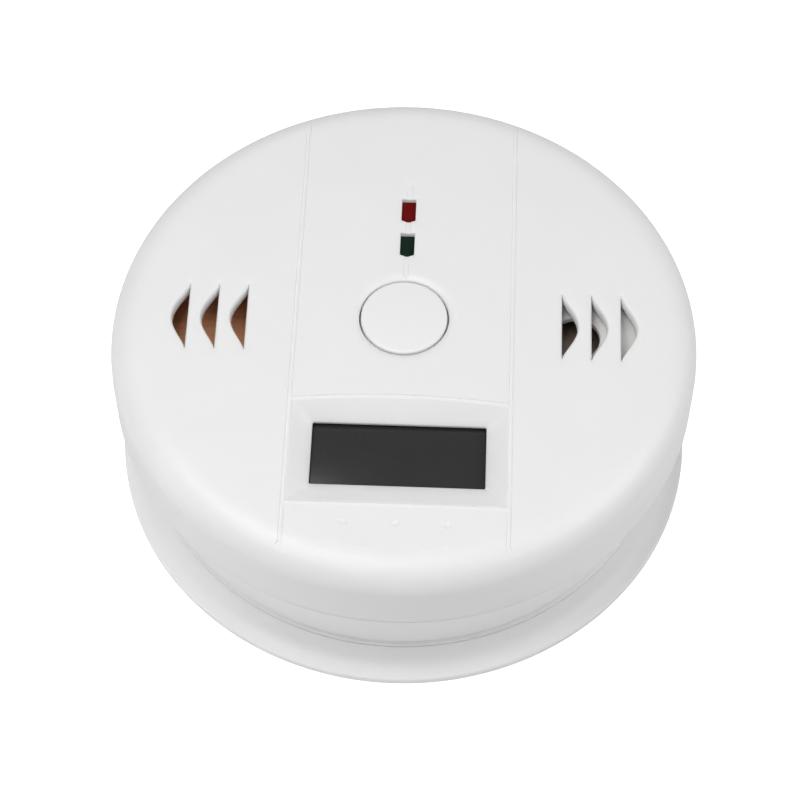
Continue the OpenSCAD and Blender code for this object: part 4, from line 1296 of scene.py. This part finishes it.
cup_low, cup_high = corners("buzzer_cup")
cup_mid = (*plan_middle(cup_low, cup_high), 0)
cup_r = (cup_high.x - cup_low.x) / 2
disc_low, disc_high = corners("piezo_disc")
cup_outline = rounded([(4.1, cup_high.z - 1.1, 0.1), (9.6, cup_high.z - 1.1, 0.2), (9.6, disc_low.z, 0.05),
                       (8.7, disc_low.z, 0.05), (8.7, cup_low.z, 0.1), (cup_r, cup_low.z, 0.2),
                       (cup_r, cup_high.z, 0.9), (4.1, cup_high.z, 0.25)], 0.2, 5)
fit_turned("sounder_cup", cup_outline, "buzzer_plastic", cup_mid, 144, "buzzer_cup", True, 30)
disc_r = (disc_high.x - disc_low.x) / 2
disc_outline = [(0, disc_low.z), (disc_r - 0.05, disc_low.z), (disc_r, disc_low.z + 0.06),
                (disc_r, disc_high.z - 0.05), (disc_r - 0.05, disc_high.z), (7.4, disc_high.z),
                (7.1, disc_high.z - 0.07), (6.8, disc_high.z), (0, disc_high.z)]
fit_turned("sounder_disc", disc_outline, "brass_disc", cup_mid, 144, "piezo_disc", angle=30)

coil_low, coil_high = corners("sounder_coil")
coil_mid = (*plan_middle(coil_low, coil_high), coil_low.z)
bobbin = [(0, 0), (3.8, 0), (4, 0.2), (4, 0.8), (3.8, 1), (1.8, 1), (1.8, 5), (3.8, 5), (4, 5.2), (4, 5.8),
          (3.8, 6), (0.6, 6), (0.5, 5.8), (0, 5.8)]
fit_turned("sounder_coil_core", bobbin, "ferrite", coil_mid, 48, "sounder_coil")
layers = [(1.82, 1.02)] + [(3.38 + 0.1 * (k % 2), 1.02 + 3.96 * k / 28) for k in range(29)] + [(1.82, 4.98)]
fit_turned("sounder_coil_turns", layers, "copper_wire", coil_mid, 48, "sounder_winding", True, 60)

# ---------- gas sensor ----------

can_low, can_high = corners("sensor_can")
can_mid = (*plan_middle(can_low, can_high), 0)
can_r = (can_high.x - can_low.x) / 2
can_outline = rounded([(2.6, can_high.z - 0.3, 0.05), (can_r - 0.3, can_high.z - 0.5, 0.3),
                       (can_r - 0.3, can_low.z, 0.05), (can_r, can_low.z, 0.1),
                       (can_r, can_high.z, 0.6), (2.6, can_high.z, 0.12)], 0.1, 5)
fit_turned("gas_sensor_can", can_outline, "plated_steel", can_mid, 96, "sensor_can", True)
base_low, base_high = corners("sensor_base")
base_outline = rounded([(can_r, base_low.z, 0.15), (can_r, base_low.z + 0.98, 0.1),
                        (can_r - 0.35, base_low.z + 0.98, 0.05), (can_r - 0.35, base_high.z, 0.15),
                        (0, base_high.z, 0), (0, base_low.z, 0)], 0.1, 4)
base_outline = [(0, base_low.z)] + base_outline[:-1]
fit_turned("gas_sensor_base", base_outline, "base_resin", can_mid, 72, "sensor_base")


def gauze_lines(mid, r, pitch, weave):
    """Wavy wires both ways, over and under each other, cut to a round piece."""
    lines = []
    count = int(r / pitch)
    for k in range(-count, count + 1):
        off = k * pitch
        half = math.sqrt(max(r * r - off * off, 0)) - 0.1
        if half < pitch:
            continue
        steps = int(2 * half / (pitch / 4))
        for way in (0, 1):
            line = []
            for i in range(steps + 1):
                along = -half + 2 * half * i / steps
                lift = weave * math.cos(math.pi * along / pitch) * (1 if (k + way) % 2 else -1)
                line.append((mid[0] + along, mid[1] + off, mid[2] + lift) if way else
                            (mid[0] + off, mid[1] + along, mid[2] + lift))
            lines.append(line)
    return lines


gauze_mid = middle_of("sensor_gauze")
gauze = strands("gas_sensor_gauze", gauze_lines(gauze_mid, 3.95, 0.42, 0.06), 0.07, "gauze_steel", 6)
fit_out(gauze, "case", "gauze_steel", ["sensor_gauze"], angle=60)

# ---------- screws ----------


def screw_pattern(name, head_r, head_h, shank_r, length):
    """A pan-head screw, head down, with a cross recess and a coarse thread."""
    outline = [(0, 0), (head_r * 0.5, 0.02)] + arc((head_r * 0.55, head_h * 0.7), head_r * 0.45, -75, 0, 8)
    root_r, tip_z = shank_r * 0.82, head_h + length - 0.1
    outline += [(head_r, head_h), (shank_r + 0.1, head_h), (root_r, head_h + 0.12),
                (root_r, head_h + length - 1.4), (0.15, tip_z), (0, tip_z)]
    outline = [(r, max(z, 0.0)) for r, z in outline]
    head = turned(name + "_head", outline, "screw_steel", steps=40)
    arms = [prism(f"{name}_arm_{k}", box_loop((0, 0), (head_r * 1.2, 0.5) if k else (0.5, head_r * 1.2), 0.1),
                  -0.2, head_h * 0.62) for k in (0, 1)]
    body = carved(name, head, (), arms)
    pitch = shank_r * 0.85
    turns = (length - 1.6) / pitch
    count = int(turns * 18)
    thread_r = shank_r * 0.86
    helix = [(thread_r * math.cos(2 * math.pi * k / 18), thread_r * math.sin(2 * math.pi * k / 18),
              head_h + 0.3 + pitch * k / 18) for k in range(count)]
    thread = strands(name + "_thread", [helix], shank_r * 0.14, "screw_steel", 5)
    merged = bmesh.new()
    merged.from_mesh(body.data)
    merged.from_mesh(thread.data)
    merged.to_mesh(body.data)
    merged.free()
    discard(thread)
    return body


board_screw_low = corners("board_screws")[0]
fit_repeated("board_fixing_screws", screw_pattern("board_screw", 2.4, 1.6, 0.98, 6),
             [(x, y, board_screw_low.z) for x, y in BOARD_SCREWS], "screw_steel", "board_screws",
             random_turn=1.5, seed=4)
case_screw_low = corners("housing_screws")[0]
fit_repeated("case_fixing_screws", screw_pattern("case_screw", 2.3, 1.8, 1.22, 17),
             [(x, y, case_screw_low.z) for x, y in SCREW_RING], "screw_steel", "housing_screws",
             random_turn=1.5, seed=9)

# ---------- small parts on the board ----------

BOARD_TOP = board_high.z
BOARD_Z = board_low.z
RESISTORS = [(-9, 31, 0), (-9, 34.5, 0), (-9, 38, 0), (9, 31, 0), (9, 34.5, 0), (9, 38, 0),
             (-12, -6.5, 0), (-14, -10, 0), (12, -10, 0), (-22, 12, 90), (28, 19, 30), (-4, -11.5, 0)]
RESISTOR_SPAN = 8.0
DISC_CAPACITORS = [(8, 24), (-8, 24), (8, -7), (-6, 10.5), (33, -16)]
CAN_CAPACITORS = [(11, 18), (11, 11), (-21, -3.5)]
TRANSISTORS = [(20, -12), (26, -15)]
PIN_RING_R = 3.2
SENSOR_PINS = [(can_mid[0] + PIN_RING_R * math.cos(a), can_mid[1] + PIN_RING_R * math.sin(a))
               for a in np.radians(range(0, 360, 60))]


def mark_along(obj):
    """Stores how far along the piece each point lies, from 0 to 1, for bands of colour."""
    co = np.array([v.co.z for v in obj.data.vertices])
    share = (co - co.min()) / (co.max() - co.min())
    obj.data.attributes.new("along", "FLOAT", "POINT").data.foreach_set("value", share.astype(np.float32))
    return obj


coat_outline = [(0, -3), (0.35, -3), (0.95, -2.75), (1.15, -2.3), (1.15, -1.6), (0.97, -1.2), (0.95, 0),
                (0.97, 1.2), (1.15, 1.6), (1.15, 2.3), (0.95, 2.75), (0.35, 3), (0, 3)]
pattern = mark_along(turned("resistor_body", coat_outline, "resistor_coat", steps=24))
fit_repeated("resistor_bodies", pattern, [(x, y, BOARD_TOP + 1.3) for x, y, _ in RESISTORS],
             "resistor_coat", "resistors", 50, facings=[(0, 90, turn) for _, _, turn in RESISTORS])

wafer_outline = [(0, -0.7), (1.0, -0.62), (1.6, -0.45), (1.9, -0.22), (2.0, 0), (1.9, 0.22), (1.6, 0.45),
                 (1.0, 0.62), (0, 0.7)]
fit_repeated("disc_capacitors", turned("disc_capacitor", wafer_outline, "capacitor_resin", steps=28),
             [(x, y, BOARD_TOP + 3.2) for x, y in DISC_CAPACITORS], "capacitor_resin",
             "ceramic_capacitors", 60, facings=[(90, 0, 0)] * len(DISC_CAPACITORS))

sleeve_outline = [(0, 0.15), (2.2, 0), (2.5, 0.2), (2.5, 0.8), (2.28, 1.0), (2.5, 1.25), (2.5, 6.3),
                  (2.3, 6.5), (2.0, 6.55), (1.95, 6.45), (0, 6.45)]
fit_repeated("can_capacitors", turned("can_capacitor", sleeve_outline, "capacitor_sleeve", steps=40),
             [(x, y, BOARD_TOP) for x, y in CAN_CAPACITORS], "capacitor_sleeve",
             "electrolytic_capacitors")

flat_side = math.degrees(math.asin(1.2 / 2.3))
case_loop = arc((0, 0), 2.3, -flat_side, 180 + flat_side, 26)
fit_repeated("transistor_bodies", prism("transistor_body", case_loop, 1.5, 6.1, 0.15),
             [(x, y, BOARD_TOP) for x, y in TRANSISTORS], "chip_resin", "transistors")

crystal_low, crystal_high = corners("crystal_can")
crystal_mid = plan_middle(crystal_low, crystal_high)
half_run = (crystal_high.x - crystal_low.x - (crystal_high.y - crystal_low.y)) / 2
crystal_r = (crystal_high.y - crystal_low.y) / 2


def stadium(centre, half, r):
    right, left = (centre[0] + half, centre[1]), (centre[0] - half, centre[1])
    return arc(right, r, -90, 90, 12) + arc(left, r, 90, 270, 12)


crystal = prism("clock_crystal", stadium(crystal_mid, half_run, crystal_r - 0.25),
                crystal_low.z, crystal_high.z, 0.4)
flange = prism("crystal_flange", stadium(crystal_mid, half_run, crystal_r),
               crystal_low.z, crystal_low.z + 0.4, 0.1)
fit_out(carved("clock_crystal_can", crystal, [flange]), "case", "plated_steel", ["crystal_can"], angle=30)

trim_low, trim_high = corners("trimmer")
trim_mid = plan_middle(trim_low, trim_high)
trim_body = prism("trimmer_box", box_loop(trim_mid, (6.6, 6.6), 0.5), trim_low.z, trim_low.z + 2.4, 0.2)
trim_knob = prism("trimmer_knob", round_loop(trim_mid, 2.6, 36), trim_low.z + 2, trim_high.z, 0.15)
trim_slot = prism("trimmer_slot", box_loop(trim_mid, (4, 0.7), 0.2), trim_high.z - 0.6, trim_high.z + 0.5)
trimmer = carved("trimmer_pot", trim_body, [trim_knob], [trim_slot])
fit_out(trimmer, "case", "trimmer_blue", ["trimmer"], angle=30)


def gull_pin():
    """One bent chip leg, from the chip's edge at y 0 out and down to its foot."""
    side = rounded([(0, 1.5, 0), (0, 1.3, 0), (0.4, 1.3, 0.1), (0.4, 0, 0.2), (1.4, 0, 0.03),
                    (1.4, 0.2, 0.03), (0.6, 0.2, 0.1), (0.6, 1.5, 0.2)], 0.1, 3)
    half = 0.21
    verts = [(sx * half, y, z) for sx in (-1, 1) for y, z in side]
    n = len(side)
    faces = [tuple(range(n)), tuple(range(2 * n - 1, n - 1, -1))]
    faces += [(k, (k + 1) % n, n + (k + 1) % n, n + k) for k in range(n)]
    obj = as_object("chip_leg", plain_mesh("chip_leg", verts, faces))
    tidy_normals(obj.data)
    return obj


def chip_legs(node, name, count, body_depth):
    mid = middle_of(node)
    pitch = 1.2
    places, turns = [], []
    for i in range(count):
        for side in (-1, 1):
            places.append((mid.x + (i - (count - 1) / 2) * pitch, mid.y + side * body_depth / 2, BOARD_TOP))
            turns.append((0, 0, 0 if side > 0 else 180))
    fit_repeated(name, gull_pin(), places, "tinned_metal", node, facings=turns)


chip_legs("controller_pins", "controller_legs", 10, 5.4)
chip_legs("amplifier_pins", "amplifier_legs", 4, 4.0)

pin = [(0, 0), (0.35, 0), (0.45, 0.08), (0.45, 0.5), (0.38, 0.6), (0, 0.6)]
fit_repeated("gas_sensor_pins", turned("sensor_pin", pin, "gold_contact", steps=18),
             [(x, y, BOARD_TOP) for x, y in SENSOR_PINS], "gold_contact", "sensor_pins")

joint_spots = []
for x, y, turn in RESISTORS:
    for side in (-1, 1):
        reach, angle = side * RESISTOR_SPAN / 2, math.radians(turn)
        joint_spots.append((x + reach * math.cos(angle), y + reach * math.sin(angle)))
joint_spots += [(0, y + side * 1.27) for y in (RED_Y, GREEN_Y) for side in (-1, 1)]
joint_spots += [(x, BUTTON_Y + y) for x in (-3.25, 3.25) for y in (-2.25, 2.25)]
joint_spots += [(x + side * 1.27, y + 0.4) for x, y in TRANSISTORS for side in (-1, 1)] + SENSOR_PINS
fillet = [(0, 0), (0.3, 0), (0.34, 0.12), (0.4, 0.4), (0.6, 0.7), (0.98, 0.88), (1.0, 0.9), (0, 0.9)]
fit_repeated("solder_fillets", turned("solder_fillet", fillet, "solder", steps=20),
             [(x, y, BOARD_Z - 0.9) for x, y in joint_spots], "solder", "solder_joints", 50,
             random_turn=6.0)

# ---------- cells, springs and wires ----------

CELL_Z = middle_of("battery_1").z
for i, node in enumerate(("battery_1", "battery_2", "battery_3")):
    low, high = corners(node)
    way = -1 if i == 1 else 1
    start = low.x if way > 0 else high.x
    length = high.x - low.x
    line = [(0, 0), (5.5, 0), (5.7, 0.2), (5.8, 0.45), (6.5, 0.35), (6.95, 0.55), (7.1, 1.0)]
    line += [(r, length - back) for r, back in
             ((7.1, 2.2), (7.1, 1.9), (6.9, 1.45), (6.3, 1.3), (3.2, 1.3), (2.8, 1.1), (2.7, 0.9),
              (2.7, 0.25), (2.5, 0), (0, 0))]
    cell = mark_along(turned(f"aa_cell_{i + 1}", line, "cell_jacket", steps=72))
    cell.data.transform(Matrix.Translation(Vector((start, (low.y + high.y) / 2, CELL_Z)) * MM)
                        @ Matrix.Rotation(math.radians(90 * way), 4, "Y"))
    fit_out(cell, "case", "cell_jacket", [node], angle=35)

spring_low, spring_high = corners("battery_springs")
spring_places, spring_turns = [], []
for i in range(3):
    way = -1 if i == 1 else 1
    wall_x = spring_low.x if way > 0 else spring_high.x
    spring_places.append((wall_x + way * 0.4, (i - 1) * CELL_PITCH, CELL_Z))
    spring_turns.append((0, 90 * way, 0))
springs = run_tree(SPRING, "cell_springs", points_mesh("spring_places", spring_places, spring_turns),
                   {"Turns": 4.0, "Wide radius": 4.6 * MM, "Narrow radius": 2.6 * MM, "Length": 4.2 * MM,
                    "Wire radius": 0.34 * MM}, FINISHES["spring_wire"])
fit_out(springs, "case", "spring_wire", ["battery_springs"], angle=70)

RED_ROUTE = [(28.6, 15.2, 22), (31, 15.8, 22.1), (33.5, 17.7, 22.2), (35, 19.2, 22.5), (35.5, 19.7, 23.1),
             (35.5, 19.7, 23.7)]
BLACK_ROUTE = [(-28.6, -15.2, 22), (-31, -16, 22.1), (-33, -18, 22.2), (-34, -19.4, 22.5), (-34.4, -20, 23.1),
               (-34.4, -20, 23.7)]


def smooth_route(points):
    """A flowing line through the route's points."""
    p = [Vector(q) for q in points]
    steps = 6
    out = []
    for i in range(len(p) - 1):
        a, b, c, d = p[max(i - 1, 0)], p[i], p[i + 1], p[min(i + 2, len(p) - 1)]
        for k in range(steps):
            u = k / steps
            out.append(0.5 * (2 * b + (c - a) * u + (2 * a - 5 * b + 4 * c - d) * u ** 2
                              + (3 * b - a - 3 * c + d) * u ** 3))
    return out + [p[-1]]


for name, route, slot_name, node in (("red_supply_wire", RED_ROUTE, "red_insulation", "red_wire"),
                                     ("black_supply_wire", BLACK_ROUTE, "black_insulation", "black_wire")):
    fit_out(strands(name, [smooth_route(route)], 0.58, slot_name, 16), "case", slot_name, [node], angle=60)

# ---------- CAD nodes that stay ----------

STAYING = {
    "switch_body": "switch_black", "switch_frame": "plated_steel", "switch_legs": "tinned_metal",
    "switch_plunger": "switch_black", "lcd_holder": "holder_plastic", "lcd_contact_strips": "contact_rubber",
    "led_leads": "tinned_metal", "circuit_board": "phenolic_board", "piezo_ceramic": "ceramic",
    "piezo_contacts": "gold_contact", "controller_chip": "chip_resin", "amplifier_chip": "chip_resin",
    "component_leads": "tinned_metal", "battery_contacts": "contact_plate",
}
for node, slot_name in STAYING.items():
    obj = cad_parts[node]
    obj.data.materials.clear()
    obj.data.materials.append(FINISHES[slot_name])

# ---------- camera, floor and light ----------

CAMERA_TURN = math.radians(2.18)
CAMERA_RISE = math.radians(57.2)
CAMERA_AWAY = 0.4504
CAMERA_TARGET = Vector((-0.65, 0.0, 11.29)) * MM
FLOOR_HALF, FLOOR_Z = 30.0, -0.00002
BOUNCE_HALF, BOUNCE_Z = 1.5, -0.0002
LIGHT_AIM = Vector((0, 0, 0.02))
ROOM_LIGHT = 0.25

LENS_LENGTH = 114.32
LENS_FRAME = 36.0

back = Vector((math.sin(CAMERA_TURN) * math.cos(CAMERA_RISE),
               -math.cos(CAMERA_TURN) * math.cos(CAMERA_RISE), math.sin(CAMERA_RISE)))
optics = bpy.data.cameras.new("camera")
optics.lens = LENS_LENGTH
optics.sensor_width = LENS_FRAME
optics.clip_start = 0.02
camera = as_object("camera", optics)
camera.location = CAMERA_TARGET + back * CAMERA_AWAY
camera.rotation_mode = "QUATERNION"
camera.rotation_quaternion = (-back).to_track_quat("-Z", "Y")
bpy.context.scene.camera = camera


def studio_sheet(name, half, z, finish):
    """A flat square sheet of the studio under the alarm; half and z in metres."""
    mesh = bpy.data.meshes.new(name)
    rim = [(sx * half, sy * half, z) for sx, sy in ((-1, -1), (1, -1), (1, 1), (-1, 1))]
    mesh.from_pydata(rim, [], [(0, 1, 2, 3)])
    mesh.materials.append(finish)
    sheet = as_object(name, mesh)
    return sheet


# The floor the camera sees throws no light back; the hidden board under it does.
shown = studio_sheet("studio_floor", FLOOR_HALF, FLOOR_Z, pale_floor("pale_studio_floor", FLOOR_GLOW))
shown.visible_diffuse = False
shown.visible_glossy = False
shown.visible_shadow = False
bounce = studio_sheet("studio_bounce", BOUNCE_HALF, BOUNCE_Z, pale_floor("pale_bounce_board", 0.0))
bounce.visible_camera = False


def soft_light(name, place, size, power):
    """A square soft light turned towards the alarm; place and size in metres."""
    light = bpy.data.lights.new(name, "AREA")
    light.shape = "SQUARE"
    light.size = size
    light.energy = power
    lamp = as_object(name, light)
    lamp.location = place
    lamp.rotation_mode = "QUATERNION"
    lamp.rotation_quaternion = (LIGHT_AIM - Vector(place)).to_track_quat("-Z", "Y")


soft_light("key_overhead", (-0.13, -0.08, 0.45), 0.3, 1.21)
soft_light("right_fill", (0.4, -0.05, 0.42), 0.35, 1.06)
soft_light("low_left_fill", (-0.6, -0.2, 0.12), 0.3, 0.59)

room = bpy.data.worlds.new("pale_room")
room.use_nodes = True
sky = Graph(room.node_tree)
room.node_tree.nodes.clear()
air = sky.node("ShaderNodeBackground", None, {"Color": (1.0, 1.0, 1.0), "Strength": ROOM_LIGHT})
sky.node("ShaderNodeOutputWorld", None, {"Surface": air})
bpy.context.scene.world = room
bpy.context.scene.view_settings.view_transform = "Standard"
bpy.context.scene.view_settings.look = "None"
